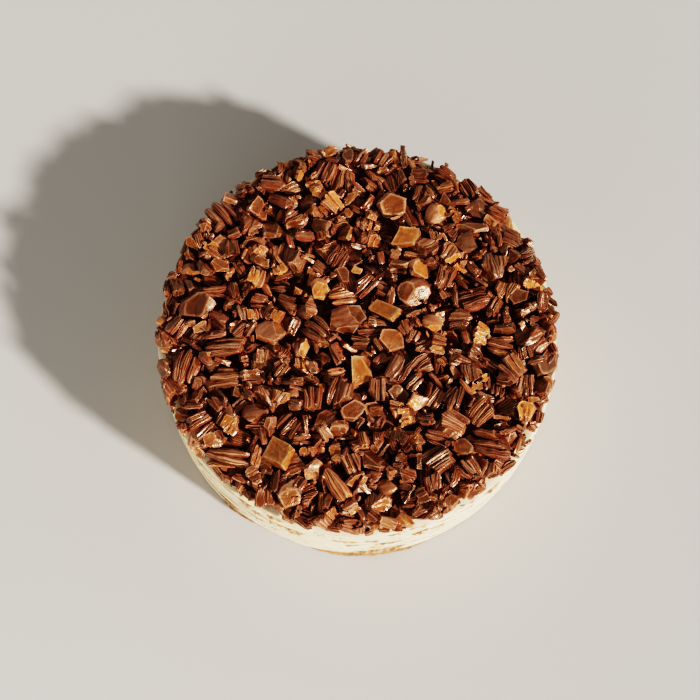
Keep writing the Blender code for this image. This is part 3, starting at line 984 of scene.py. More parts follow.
class NutKind(Enum):
    """The kinds of nut piece."""

    CHUNK = NutShape(0.66, 0.52, 1.06, ((4, 12, 0.82), (176, -8, 0.80), (80, -78, 0.62)),
                     1.0 * MM, 1.85 * MM, 0.0, (4.0, 2.4), 1, 0.3, 0.3, 1.0, 3)
    HALF = NutShape(0.56, 0.40, 1.0, ((90, -88, 0.25), (10, 25, 0.93)),
                    1.0 * MM, 1.8 * MM, 0.0, (2.2, 2.0), 1, 0.6, 0.25, 1.0, 3)
    BLOCK = NutShape(0.62, 0.44, 1.45, ((0, 4, 1.0), (180, 6, 1.0), (92, 3, 1.0), (-88, -5, 1.0),
                                        (0, 88, 1.0), (0, -88, 1.0)),
                     0.15 * MM, 2.6 * MM, 0.0, (6.0, 6.0), 1, 0.0, 0.1, 0.86)
    PLATE = NutShape(0.72, 0.26, 1.38, ((12, 0, 0.92), (84, 6, 0.95), (156, -6, 1.0),
                                        (232, 5, 0.86), (300, 0, 0.95), (0, 86, 1.0),
                                        (0, -88, 1.0)),
                     0.2 * MM, 3.0 * MM, 20.0, (5.0, 3.0), 2, 0.3, 0.2, 0.92)
    WEDGE = NutShape(0.74, 0.52, 1.2, ((35, 24, 0.72), (150, 12, 0.80), (268, 18, 0.74),
                                       (0, -82, 0.85)),
                     0.9 * MM, 1.7 * MM, 35.0, (3.0, 2.6), 1, 0.2, 0.35, 1.0, 2)
    DOME = NutShape(0.80, 0.58, 1.0, ((60, -84, 0.35),),
                    0.35 * MM, 4.2 * MM, 10.0, (2.2, 2.2), 3, 0.2, 0.2)
    STICK = NutShape(0.34, 0.28, 1.04, ((5, 15, 0.86), (175, 10, 0.9), (90, -70, 0.7)),
                     0.7 * MM, 1.4 * MM, 0.0, (3.0, 2.4), 1, 0.8, 0.45, 1.0, 2)
    SLAB = NutShape(0.80, 0.50, 1.1, ((92, 8, 0.82), (-86, -10, 0.78), (5, 70, 0.66),
                                      (0, -80, 0.7)),
                    1.0 * MM, 1.6 * MM, 90.0, (4.0, 2.6), 1, 0.2, 0.3, 1.0, 4)
    SHARD = NutShape(0.62, 0.17, 1.4, ((18, 0, 0.7), (100, 6, 0.62), (170, -6, 0.8), (255, 5, 0.66),
                                       (0, 84, 0.9), (0, -86, 0.9)),
                     0.15 * MM, 2.4 * MM, 10.0, (4.0, 3.0), 2, 0.5, 0.4, 0.92)
    SPLINTER = NutShape(0.24, 0.17, 1.1, ((12, 10, 0.9), (172, -8, 0.92), (90, -70, 0.6)),
                        0.45 * MM, 1.1 * MM, 0.0, (2.6, 2.2), 1, 0.9, 0.55)
    CRUMB = NutShape(0.74, 0.56, 1.15, ((20, 30, 0.75), (140, -10, 0.8), (260, 15, 0.7)),
                     0.15 * MM, 2.0 * MM, 0.0, (3.0, 3.0), 2, 0.0)


def direction(turn: float, lift: float) -> Vector:
    """Return the unit vector at a turn about Z and a lift above the XY plane, in degrees."""
    turn, lift, level = math.radians(turn), math.radians(lift), math.cos(math.radians(lift))
    return Vector((level * math.cos(turn), level * math.sin(turn), math.sin(lift)))


def reach_of(half: Vector, facing: Vector) -> float:
    """Return how far an ellipsoid of some half sizes reaches in a direction."""
    return math.sqrt(sum((facing[axis] * half[axis]) ** 2 for axis in range(3)))


class Nut:
    """One cut piece of nut: an ellipsoid body less what its flat cuts take off."""

    cell: float = 1.0 * MM
    cut_turn: float = 16.0
    cut_lift: float = 9.0
    cut_depth: Pair = (0.9, 1.06)
    boxy_growth: float = 1.3
    upright: float = 0.02

    def __init__(self, kind: NutKind, length: float, width: float | None, draw: random.Random,
                 tone: float = 0.0) -> None:
        """Shape a piece.

        Args:
            kind: which kind it is.
            length: its length in metres.
            width: its width in metres, or None for the kind's own.
            draw: the source of its uneven cuts.
            tone: its colour, from 0 for brown to 1 for amber.
        """
        shape = kind.value
        width = width or length * shape.width
        thickness = min(length * shape.thickness, width * shape.thickness / shape.width)
        half = Vector((0.5 * length, 0.5 * width, 0.5 * thickness))
        self.kind = kind
        self.tone = tone
        self.hidden = False
        self.body = half * shape.growth
        self.cuts = []
        for turn, lift, reach in shape.cuts:
            facing = direction(turn + draw.uniform(-self.cut_turn, self.cut_turn),
                               lift + draw.uniform(-self.cut_lift, self.cut_lift))
            half_size = reach_of(half, facing)
            if shape.growth >= self.boxy_growth:
                corner = sum(abs(facing[axis]) * half[axis] for axis in range(3))
                half_size = 0.5 * (half_size + corner)
            self.cuts.append((facing, reach * half_size * draw.uniform(*self.cut_depth)))
        self.turn = Matrix.Identity(3)
        self.place = Vector()

    def footprint(self, turn: Matrix) -> tuple[np.ndarray, np.ndarray, np.ndarray, np.ndarray]:
        """Find the ground that the piece covers.

        Args:
            turn: how it is turned.

        Returns:
            The columns and rows of the cells, and the piece's top and underside over each.
        """
        spin = np.array(turn)
        body = np.array(self.body)
        spread = spin @ np.diag(body ** 2) @ spin.T
        shape = spin @ np.diag(body ** -2.0) @ spin.T
        reach = [int(math.sqrt(spread[axis, axis]) / self.cell) + 1 for axis in range(2)]
        cols, rows = np.mgrid[-reach[0]:reach[0] + 1, -reach[1]:reach[1] + 1]
        x = cols * self.cell
        y = rows * self.cell
        across = shape[0, 2] * x + shape[1, 2] * y
        flat = shape[0, 0] * x * x + 2.0 * shape[0, 1] * x * y + shape[1, 1] * y * y - 1.0
        root = across * across - shape[2, 2] * flat
        inside = root > 0.0
        root = np.sqrt(np.maximum(root, 0.0))
        top = (root - across) / shape[2, 2]
        under = (-root - across) / shape[2, 2]
        for facing, distance in self.cuts:
            nx, ny, nz = spin @ np.array(facing)
            limit = distance - nx * x - ny * y
            if abs(nz) < self.upright:
                inside &= limit > 0.0
            elif nz > 0.0:
                top = np.minimum(top, limit / nz)
            else:
                under = np.maximum(under, limit / nz)
        inside &= top > under
        return cols[inside], rows[inside], top[inside], under[inside]


@dataclass(frozen=True)
class Strand:
    """A bundle of ridges in a piece: its half sizes, and how it lies across and above it."""

    length: float
    width: float
    height: float
    aside: float
    rise: float
    yaw: float


@dataclass(frozen=True)
class NutCarver:
    """Turns placed nut pieces into ridged bodies with flat broken faces.

    A piece is one strand or several, side by side and a little fanned. Drift, bunch and worn are
    how unevenly the ridges run, crowd and wear. A broken face has a rim, and a wide one a core.
    """

    least_strand: float = 2.2 * MM
    strand_place: float = 0.12
    strand_lengths: Pair = (0.84, 1.04)
    strand_widths: Pair = (1.05, 1.4)
    strand_heights: Pair = (0.82, 1.04)
    strand_spread: float = 0.9
    side_length: float = 0.35
    side_height: float = 0.55
    fan: float = 0.2
    fan_play: float = 0.05
    strand_rise: float = 0.35 * MM
    strand_slip: float = 0.55 * MM
    least_ridges: int = 4
    columns_a_ridge: int = 3
    hidden_columns_a_ridge: int = 2
    row_length: float = 2.4 * MM
    row_counts: tuple[int, int] = (3, 12)
    drift: tuple[Pair, ...] = ((0.14, 1.6), (0.02, 4.0))
    bunch: tuple[Pair, ...] = ((0.20, 2.0), (0.10, 3.0))
    groove_depths: Pair = (0.5, 1.0)
    groove_power: float = 1.1
    groove_limit: float = 0.6
    worn: Pair = (0.85, 0.25)
    narrowing: float = 0.4
    lump: float = 0.06
    lump_rate: float = 2.2
    bend_up: float = 0.6
    # Painted shade on the sides of a strand where it meets its neighbours.
    flank_shade: float = 0.75
    flank: Pair = (0.72, 0.26)
    full_depth: float = 0.9 * MM
    full_size: float = 6.0 * MM
    grain_play: float = 0.16
    grain_stretch: float = 0.16
    chip_lifts: Pair = (-20.0, 65.0)
    chip_depth: Pair = (0.58, 0.88)
    edge_step: float = 2.0 * MM
    jag: float = 0.08 * MM
    rim_share: float = 0.22
    core_share: float = 0.5
    wide_face: float = 12.0 * MM ** 2
    cut_slack: float = 1e-7
    hollow: float = 0.35 * MM
    hollow_range: Pair = (-1.0, 0.5)
    comb: float = 0.35 * MM
    comb_pitch: Pair = (3.4 * MM, 4.2 * MM)
    tears: tuple[Pair, ...] = (
        (6.0 * MM, 0.26 * MM), (2.6 * MM, 0.11 * MM), (1.2 * MM, 0.05 * MM))
    side_room: Pair = (0.9 * MM, 0.85 * MM)
    top_room: Pair = (1.0 * MM, 0.9 * MM)

    @staticmethod
    def shell(columns: int, rows: int) -> list:
        """Make the faces of a body with two poles and rows of points between them.

        Args:
            columns: how many points each row has.
            rows: how many rows there are.

        Returns:
            Lists of point numbers, with the poles first.
        """
        steps = np.arange(columns)
        following = (steps + 1) % columns
        faces = np.stack([np.zeros(columns, int), 2 + steps, 2 + following], axis=1).tolist()
        for row in range(rows - 1):
            low = 2 + row * columns
            high = low + columns
            quads = [low + steps, high + steps, high + following, low + following]
            faces += np.stack(quads, axis=1).tolist()
        last = 2 + (rows - 1) * columns
        faces += np.stack([np.ones(columns, int), last + following, last + steps], axis=1).tolist()
        return faces

    def lay_strands(self, nut: Nut, lean: Pair,
                    draw: np.random.Generator) -> list[Strand]:
        """Lay the bundles of ridges of a piece side by side across its grain.

        Args:
            nut: the piece.
            lean: the direction of its grain.
            draw: the source of their uneven sizes and places.

        Returns:
            The strands; a hidden piece has one.
        """
        length = math.hypot(nut.body.x * lean[0], nut.body.y * lean[1])
        width = math.hypot(nut.body.x * lean[1], nut.body.y * lean[0])
        most = nut.kind.value.strands
        count = 1 if nut.hidden else int(np.clip(2.0 * width / self.least_strand, 1, most))
        if count == 1:
            return [Strand(length, width, nut.body.z, 0.0, 0.0, 0.0)]
        fan = draw.uniform(-self.fan, self.fan)
        strands = []
        for index in range(count):
            play = draw.uniform(-self.strand_place, self.strand_place)
            aside = (2.0 * index + 1.0) / count - 1.0 + play
            shorter = math.sqrt(1.0 - self.side_length * aside * aside)
            lower = math.sqrt(1.0 - self.side_height * aside * aside)
            strands.append(Strand(
                length * shorter * draw.uniform(*self.strand_lengths),
                width / count * draw.uniform(*self.strand_widths),
                nut.body.z * lower * draw.uniform(*self.strand_heights),
                self.strand_spread * width * aside, draw.normal(0.0, self.strand_rise),
                fan * aside + draw.normal(0.0, self.fan_play)))
        return strands

    @staticmethod
    def swell(values: np.ndarray, waves: Sequence[tuple], starts: np.ndarray) -> np.ndarray:
        """Return the sum of waves, each given as a size and a rate, with a start for each."""
        return sum(size * np.sin(rate * values + start)
                   for (size, rate), start in zip(waves, starts))

    def body(self, strand: Strand, nut: Nut,
             draw: np.random.Generator) -> tuple[np.ndarray, list, np.ndarray]:
        """Make a ridged body before its cuts, with the first axis along the grain.

        Args:
            strand: its size and place.
            nut: the piece that it is in.
            draw: the source of its ridges and lumps.

        Returns:
            Its points, its faces, and each point's groove depth, with painted shade on the flanks.
        """
        shape = nut.kind.value
        length, width, tall_half = strand.length, strand.width, strand.height
        perimeter = math.tau * math.sqrt(0.5 * (width * width + tall_half * tall_half))
        count = max(self.least_ridges, round(perimeter / shape.ridge_width))
        ridge_columns = self.hidden_columns_a_ridge if nut.hidden else self.columns_a_ridge
        columns = count * ridge_columns
        rows = int(np.clip(round(2.0 * length / self.row_length), *self.row_counts))

        phase = math.tau * np.arange(columns) / columns
        along = np.cos(np.linspace(0.0, math.pi, rows + 2)[1:-1])
        starts = draw.uniform(0.0, math.tau, 6)
        drift = self.swell(along, self.drift, starts[:2])
        bunch = self.swell(phase, self.bunch, starts[2:4])
        turn = (phase + bunch)[None, :] + drift[:, None]
        wave = np.abs(np.sin(0.5 * count * phase))
        deep = draw.uniform(*self.groove_depths, count)[np.arange(columns) // ridge_columns]
        patchy = np.sin(4.0 * along + starts[4])[:, None] * np.sin(2.0 * phase + starts[5])[None, :]
        worn = self.worn[0] + self.worn[1] * patchy
        groove = np.clip((1.0 - wave ** self.groove_power) * deep * worn, 0.0, 1.0)

        long_power, cross_power = shape.squareness
        section = (1.0 - np.abs(along) ** long_power) ** (1.0 / long_power)
        wide = np.sign(np.cos(turn)) * np.abs(np.cos(turn)) ** (2.0 / cross_power) * width
        tall = np.sign(np.sin(turn)) * np.abs(np.sin(turn)) ** (2.0 / cross_power) * tall_half
        sunk = np.minimum(self.groove_limit, groove * shape.ridge_depth / np.hypot(wide, tall))
        shrink = (1.0 - sunk) * section[:, None]
        taper = draw.uniform(-shape.taper, shape.taper)
        narrow = ((1.0 + taper * along) / (1.0 + self.narrowing * abs(taper)))[:, None]
        wide = wide * shrink * narrow
        tall = tall * shrink * narrow ** 0.5
        ahead = np.broadcast_to(length * along[:, None], wide.shape)
        poles = np.array([[length, 0.0, 0.0], [-length, 0.0, 0.0]])
        rows_of_points = np.stack([ahead.ravel(), wide.ravel(), tall.ravel()], axis=1)
        points = np.concatenate([poles, rows_of_points])

        axes = draw.normal(size=(4, 3)) / length
        lumps = np.sin(points @ axes.T * self.lump_rate + starts[:4]).mean(axis=1)
        points = points * (1.0 + 2.0 * self.lump * lumps)[:, None]
        bend = shape.bend * draw.uniform(-1.0, 1.0, 2) * 0.5 * width / (length * length)
        points[:, 1] += bend[0] * points[:, 0] ** 2
        points[:, 2] += self.bend_up * bend[1] * points[:, 0] ** 2
        yaw = np.array([math.cos(strand.yaw), math.sin(strand.yaw)])
        points[:, :2] = points[:, :2] @ np.array([yaw, (-yaw[1], yaw[0])])
        points += (0.0, strand.aside, strand.rise)
        groove = groove * min(1.0, shape.ridge_depth / self.full_depth)
        # Painted shade: a strand's sides, where it meets its neighbours, are marked as dark as a
        # groove.
        if strand.aside:
            start, span = self.flank
            flank = self.flank_shade * smooth_step((np.abs(np.cos(turn)) - start) / span)
            groove = np.maximum(groove, flank)
        return points, self.shell(columns, rows), np.concatenate([[0.0, 0.0], groove.ravel()])

    def scale(self, nut: Nut) -> float:
        """Return how strong a piece's breaks are, from 0 to 1: small pieces have finer ones."""
        return min(1.0, nut.body.x / self.full_size)

    def tear(self, points: np.ndarray, nut: Nut, draw: np.random.Generator) -> np.ndarray:
        """Push points about in coarse and fine waves, so that no face or edge is straight.

        Args:
            points: the points of a piece.
            nut: the piece.
            draw: the source of the waves.

        Returns:
            The moved points.
        """
        shift = np.zeros_like(points)
        for length, size in self.tears:
            axes = draw.normal(size=(3, 4))
            axes *= math.tau / length / np.linalg.norm(axes, axis=0)
            aims = draw.normal(size=(4, 3))
            shift += size * 0.5 * np.sin(points @ axes + draw.uniform(0.0, math.tau, 4)) @ aims
        return points + self.scale(nut) * shift

    def split(self, points: np.ndarray, nut: Nut, lean: Pair,
              draw: np.random.Generator) -> np.ndarray:
        """Break the ends of a piece unevenly, some ridges further along than others.

        Args:
            points: its points.
            nut: the piece.
            lean: the direction of its grain.
            draw: the source of the teeth's places.

        Returns:
            The moved points.
        """
        ahead = points[:, 0] * lean[0] + points[:, 1] * lean[1]
        aside = points[:, 1] * lean[0] - points[:, 0] * lean[1]
        starts = draw.uniform(0.0, math.tau, 2)
        teeth = np.sin(math.tau * aside / self.comb_pitch[0] + starts[0])
        teeth = teeth * np.sin(math.tau * points[:, 2] / self.comb_pitch[1] + starts[1])
        reach = np.clip(np.abs(ahead) / max(nut.body[:2]), 0.0, 1.0) ** 2
        push = self.comb * self.scale(nut) ** 2 * teeth * reach * np.sign(ahead)
        return points + np.stack([push * lean[0], push * lean[1], np.zeros_like(push)], axis=1)

    def chips(self, nut: Nut, draw: np.random.Generator) -> list[tuple[Vector, float]]:
        """List the piece's own cuts and a few more at random.

        Args:
            nut: the piece.
            draw: the source of the random ones.

        Returns:
            The direction that each cut faces and its distance from the middle.
        """
        trim = nut.kind.value.trim
        cuts = [(facing, distance * trim) for facing, distance in nut.cuts]
        for _ in range(nut.kind.value.chips):
            facing = direction(draw.uniform(0.0, 360.0), draw.uniform(*self.chip_lifts))
            cuts.append((facing, reach_of(nut.body, facing) * draw.uniform(*self.chip_depth)))
        return cuts

    def split_edges(self, shape: bmesh.types.BMesh) -> None:
        """Give the long edges round the broken faces more points, so that they can be jagged.

        Args:
            shape: the cut body.
        """
        broken = [face for face in shape.faces if face.material_index == 1]
        for edge in dict.fromkeys(edge for face in broken for edge in face.edges):
            count = int(edge.calc_length() / self.edge_step)
            vert = edge.verts[0]
            for part in range(count, 0, -1):
                edge, vert = bmesh.utils.edge_split(edge, vert, 1.0 / (part + 1))

    def cut_flats(self, shape: bmesh.types.BMesh, cuts: Sequence[tuple], slip: float,
                  draw: np.random.Generator) -> None:
        """Cut a body flat, and mark its broken faces with material number 1.

        Args:
            shape: the body.
            cuts: the cuts, as facing and distance.
            slip: how unevenly deep they are.
            draw: the source of that.
        """
        for facing, distance in cuts:
            everything = shape.verts[:] + shape.edges[:] + shape.faces[:]
            reach = distance + draw.normal(0.0, slip)
            result = bmesh.ops.bisect_plane(
                shape, geom=everything, dist=self.cut_slack, plane_co=facing * reach,
                plane_no=facing, clear_outer=True)
            edges = [item for item in result["geom_cut"] if isinstance(item, bmesh.types.BMEdge)]
            if edges:
                for face in bmesh.ops.edgeloop_fill(shape, edges=edges)["faces"]:
                    face.material_index = 1

    def break_flats(self, shape: bmesh.types.BMesh, depth: bmesh.types.BMLayerItem, nut: Nut,
                    draw: np.random.Generator) -> None:
        """Roughen the outline of the broken faces, and give each a rim, a core and a hollow middle.

        Args:
            shape: the cut body.
            depth: the layer that holds how deep in a groove each point is.
            nut: the piece that it is in.
            draw: the source of the roughness.
        """
        shape.normal_update()
        broken = [face for face in shape.faces if face.material_index == 1]
        for vert in shape.verts:
            if any(face.material_index == 1 for face in vert.link_faces):
                vert.co += Vector(draw.normal(0.0, self.jag * self.scale(nut), 3))
        wide = [face for face in broken if face.calc_area() > self.wide_face]
        rounds = ((broken, self.rim_share, FACE_RIM), (wide, self.core_share, FACE_CORE))
        for insides, share, value in rounds:
            if insides:
                bmesh.ops.inset_individual(shape, faces=insides, thickness=0.0)
            for face in insides:
                middle = face.calc_center_median()
                for vert in face.verts:
                    vert.co = vert.co.lerp(middle, share)
                    vert[depth] = value
        facings = [face.normal.copy() for face in broken]
        hubs = bmesh.ops.poke(shape, faces=broken)["verts"] if broken else []
        for vert, facing in zip(hubs, facings):
            vert.co += facing * draw.uniform(*self.hollow_range) * self.hollow
            vert[depth] = FACE_CORE

    def carve_strand(self, strand: Strand, nut: Nut, lean: Pair, cuts: Sequence[tuple],
                     draw: np.random.Generator) -> tuple[np.ndarray, list, np.ndarray, np.ndarray]:
        """Cut the body of a strand.

        Args:
            strand: its size and place in the piece.
            nut: the piece.
            lean: the direction of its grain.
            cuts: the piece's cuts, as facing and distance.
            draw: the source of its ridges and of how it breaks.

        Returns:
            Its points, its faces, how deep in a groove each point is, or below 0 inside a broken
            face, and which faces are broken.
        """
        points, faces, groove = self.body(strand, nut, draw)
        turn = np.array([[lean[0], lean[1], 0.0], [-lean[1], lean[0], 0.0], [0.0, 0.0, 1.0]])
        points = points @ turn
        shape = bmesh.new()
        depth = shape.verts.layers.float.new("groove")
        verts = [shape.verts.new(point) for point in points]
        for vert, value in zip(verts, groove):
            vert[depth] = value
        for face in faces:
            shape.faces.new([verts[number] for number in face])
        self.cut_flats(shape, cuts, self.strand_slip if strand.aside else 0.0, draw)
        if not nut.hidden:
            self.split_edges(shape)
        self.break_flats(shape, depth, nut, draw)
        shape.verts.index_update()
        points = np.array([vert.co[:] for vert in shape.verts]).reshape(-1, 3)
        groove = np.array([vert[depth] for vert in shape.verts])
        faces = [[vert.index for vert in face.verts] for face in shape.faces]
        broken = np.array([face.material_index for face in shape.faces], dtype=int)
        shape.free()
        return points, faces, groove, broken

    def carve(self, nut: Nut,
              seed: int) -> tuple[np.ndarray, list, np.ndarray, np.ndarray, np.ndarray]:
        """Cut a piece's strands and put them in their place.

        Args:
            nut: the piece, in its place.
            seed: picks its ridges, lumps and chips.

        Returns:
            Its points, its faces, how deep in a groove each point is, or below 0 inside a broken
            face, which faces are broken, and where each point lies along and across the grain.
        """
        draw = np.random.default_rng(seed)
        angle = math.radians(nut.kind.value.grain) + draw.normal(0.0, self.grain_play)
        lean = (math.cos(angle), math.sin(angle))
        cuts = self.chips(nut, draw)
        points, groove, broken = [], [], []
        faces: list = []
        total = 0
        for strand in self.lay_strands(nut, lean, draw):
            spots, sides, depths, breaks = self.carve_strand(strand, nut, lean, cuts, draw)
            faces += [[number + total for number in side] for side in sides]
            total += len(spots)
            points.append(spots)
            groove.append(depths)
            broken.append(breaks)
        points = np.concatenate(points)
        across = np.array([[lean[0], -lean[1], 0.0], [lean[1], lean[0], 0.0], [0.0, 0.0, 1.0]])
        grain = points @ across * (self.grain_stretch, 1.0, 1.0) + draw.uniform(0.0, 1.0, 3)
        points = self.tear(self.split(points, nut, lean, draw), nut, draw)
        points = points @ np.array(nut.turn).T + np.array(nut.place)
        radius = np.hypot(points[:, 0], points[:, 1])
        start, room = self.side_room
        points[:, :2] *= (held_below(radius, HIGH_CORNER[1] - start, room) / radius)[:, None]
        start, room = self.top_room
        points[:, 2] = held_below(points[:, 2], HIGH_CORNER[2] - start, room)
        return points, faces, np.concatenate(groove), np.concatenate(broken), grain


@dataclass(frozen=True)
class Landing:
    """How a piece is tried out before it comes to rest.

    It is tried at some turns with a random tilt, and at some places within reach of its aim. It
    may lie over marked pieces with a share of its ground at most, and stays under the ceiling.
    """

    reach: float
    tilt: float
    cover_limit: float
    turns: int
    tries: int = 24
    swing: float = math.pi
    roll: bool = False
    lower: float = 0.0


@dataclass(frozen=True)
class Batch:
    """Pieces that are dropped together: how many, their range of lengths, kinds and landing."""

    count: int
    lengths: Pair
    kinds: tuple[NutKind, ...]
    landing: Landing


@dataclass(frozen=True)
class Spot:
    """Where a piece comes to rest: its turn, footprint, height, cells and middle cell."""

    turn: Matrix
    footprint: tuple
    height: float
    cells: tuple
    col: int
    row: int


RING_KINDS = (NutKind.CHUNK, NutKind.HALF, NutKind.WEDGE, NutKind.CHUNK, NutKind.PLATE)
BED_KINDS = (NutKind.CHUNK, NutKind.WEDGE, NutKind.CHUNK, NutKind.HALF, NutKind.CHUNK,
             NutKind.PLATE, NutKind.WEDGE, NutKind.CHUNK, NutKind.STICK, NutKind.DOME)
TOP_KINDS = (NutKind.CHUNK, NutKind.SLAB, NutKind.WEDGE, NutKind.STICK, NutKind.CHUNK,
             NutKind.SHARD, NutKind.SLAB, NutKind.HALF, NutKind.STICK, NutKind.WEDGE,
             NutKind.CHUNK, NutKind.SLAB, NutKind.HALF, NutKind.SHARD, NutKind.PLATE,
             NutKind.STICK, NutKind.SLAB, NutKind.PLATE)
SMALL_KINDS = (NutKind.SPLINTER, NutKind.SLAB, NutKind.SPLINTER, NutKind.WEDGE, NutKind.STICK,
               NutKind.SHARD, NutKind.SPLINTER, NutKind.CHUNK)

RIM_LANDING = Landing(2.0 * MM, 0.35, 0.5, 3, swing=math.radians(45.0), lower=5.0 * MM)

# Nut pieces that stand out, listed one by one: kind, place across and back in mm, turn in degrees,
# length and width in mm, and colour.
MARKED_NUTS = (
    ("BLOCK", 14, 10, -30, 15.5, 7.5, "AMBER"), ("PLATE", -5, 5, 22, 19, 12, "BROWN"),
    ("PLATE", 17, -5, 0, 12, 11.5, "TAN"), ("BLOCK", 1, -21, 97, 15.5, 8.5, "AMBER"),
    ("DOME", 28, 20, -20, 18, 14, "BROWN"), ("HALF", -8, 17, 12, 14.5, 11, "AMBER"),
    ("WEDGE", -24, 12, 110, 9, 7, "TAN"), ("WEDGE", -15, 42, -30, 11, 10, "BROWN"),
    ("BLOCK", 25, 49, -15, 13, 9.5, "AMBER"), ("WEDGE", 47, 40, 20, 11, 9, "AMBER"),
    ("CHUNK", 44, 28, 75, 15.5, 8.5, "BROWN"), ("DOME", 37, 3, -30, 11, 9.5, "AMBER"),
    ("CHUNK", 28, -3, 70, 9, 6.5, "TAN"), ("STICK", 32, -8, 15, 10, 4, "TAN"),
    ("CHUNK", 50, -15, -10, 14.5, 8.5, "BROWN"), ("CHUNK", 32, -18, 20, 13, 9.5, "TAN"),
    ("HALF", 20, -20, 60, 16.5, 12, "BROWN"), ("WEDGE", -29, -9, 60, 11.5, 9.5, "AMBER"),
    ("WEDGE", -18, -15, -60, 12, 7.5, "BROWN"), ("HALF", -21, 0, -30, 16, 12, "TAN"),
    ("CHUNK", -36, 14, -15, 11.5, 9.5, "BROWN"), ("CHUNK", -39, -20, 60, 11.5, 9, "TAN"),
    ("DOME", -32, -33, 0, 6.5, 6, "AMBER"), ("WEDGE", -39, -34, 30, 9.5, 9.5, "AMBER"),
    ("CHUNK", -23, -36, 80, 14.5, 8.5, "BROWN"), ("HALF", -9, -33, 70, 18.5, 14, "BROWN"),
    ("CHUNK", 9, -31, 90, 14.5, 8.5, "TAN"), ("PLATE", 20, -33, -25, 11, 7, "BROWN"),
    ("WEDGE", 18, -40, -60, 9.5, 6.5, "AMBER"), ("CHUNK", 37, -34, 50, 13.5, 10, "TAN"),
    ("CHUNK", 48, -34, 60, 14, 9, "BROWN"), ("CHUNK", 47, -47, -35, 16.5, 9.5, "TAN"),
    ("WEDGE", -16, -47, 15, 16, 8, "TAN"), ("PLATE", -3, -42, 30, 11.5, 8.5, "BROWN"),
    ("CHUNK", -10, 37, 45, 13, 9.5, "BROWN"), ("STICK", -19, 33, -50, 10, 5.5, "TAN"),
    ("CHUNK", 3, 23, 45, 14.5, 10, "BROWN"), ("CHUNK", 13, 22, -15, 9.5, 7.5, "TAN"),
    ("HALF", -39, 24, -10, 13, 7, "TAN"), ("DOME", 40, 62, 15, 13, 11, "AMBER"),
    ("DOME", -25, 69, 0, 12.5, 7.5, "BROWN"), ("HALF", -33, 78, 15, 15, 7.5, "AMBER"),
    ("HALF", -16, 85, 70, 14, 11, "BROWN"), ("HALF", -69, 63, -35, 20, 14, "TAN"),
    ("DOME", -86, 33, 10, 12, 7.5, "AMBER"), ("STICK", -72, 20, 0, 16, 5.5, "BROWN"),
    ("PLATE", -81, 13, 20, 17.5, 12, "BROWN"), ("CHUNK", -50, 15, -15, 11.5, 8, "BROWN"),
    ("CHUNK", -52, 28, 60, 11, 9, "AMBER"), ("WEDGE", -33, 59, 20, 12, 10, "BROWN"),
    ("WEDGE", -55, 55, 40, 11, 9, "BROWN"), ("HALF", 13, 93, 60, 12, 9, "BROWN"),
    ("WEDGE", 70, 34, 60, 16.5, 13, "TAN"), ("WEDGE", 75, 21, 40, 12, 8, "AMBER"),
    ("CHUNK", 79, 49, -30, 13, 10, "BROWN"), ("PLATE", 61, 65, 30, 11, 10, "BROWN"),
    ("CHUNK", 72, 63, -30, 13, 7, "BROWN"), ("CHUNK", 57, 77, -45, 12, 8, "TAN"),
    ("HALF", 46, 84, -40, 14, 9, "BROWN"), ("HALF", 66, -58, -15, 25, 13.5, "BROWN"),
    ("CHUNK", 39, -66, 40, 17, 13.5, "TAN"), ("WEDGE", 88, -6, 5, 17, 9, "BROWN"),
    ("HALF", 71, -8, 0, 17, 9.5, "AMBER"), ("CHUNK", 77, -20, -45, 15, 11, "TAN"),
    ("DOME", 15, -79, 0, 13, 10, "AMBER"), ("HALF", 61, -42, 65, 17, 11, "AMBER"),
    ("HALF", -64, -66, -8, 25, 12, "AMBER"), ("BLOCK", -39, -63, -40, 15, 12, "AMBER"),
    ("DOME", -51, -43, 10, 14, 10, "BROWN"), ("HALF", -67, -24, 5, 19, 11, "AMBER"),
    ("HALF", -86, -19, 70, 20, 14, "BROWN"), ("STICK", -11, -78, -60, 21, 8, "AMBER"),
    ("CHUNK", -67, -9, 5, 23, 10, "TAN"), ("CHUNK", -78, -48, 40, 15, 12, "BROWN"),
    ("HALF", -58, -55, -20, 13, 9, "BROWN"), ("HALF", -34, -48, 60, 15, 12, "BROWN"),
    ("PLATE", -44, -1, 10, 16, 9, "TAN"),
)


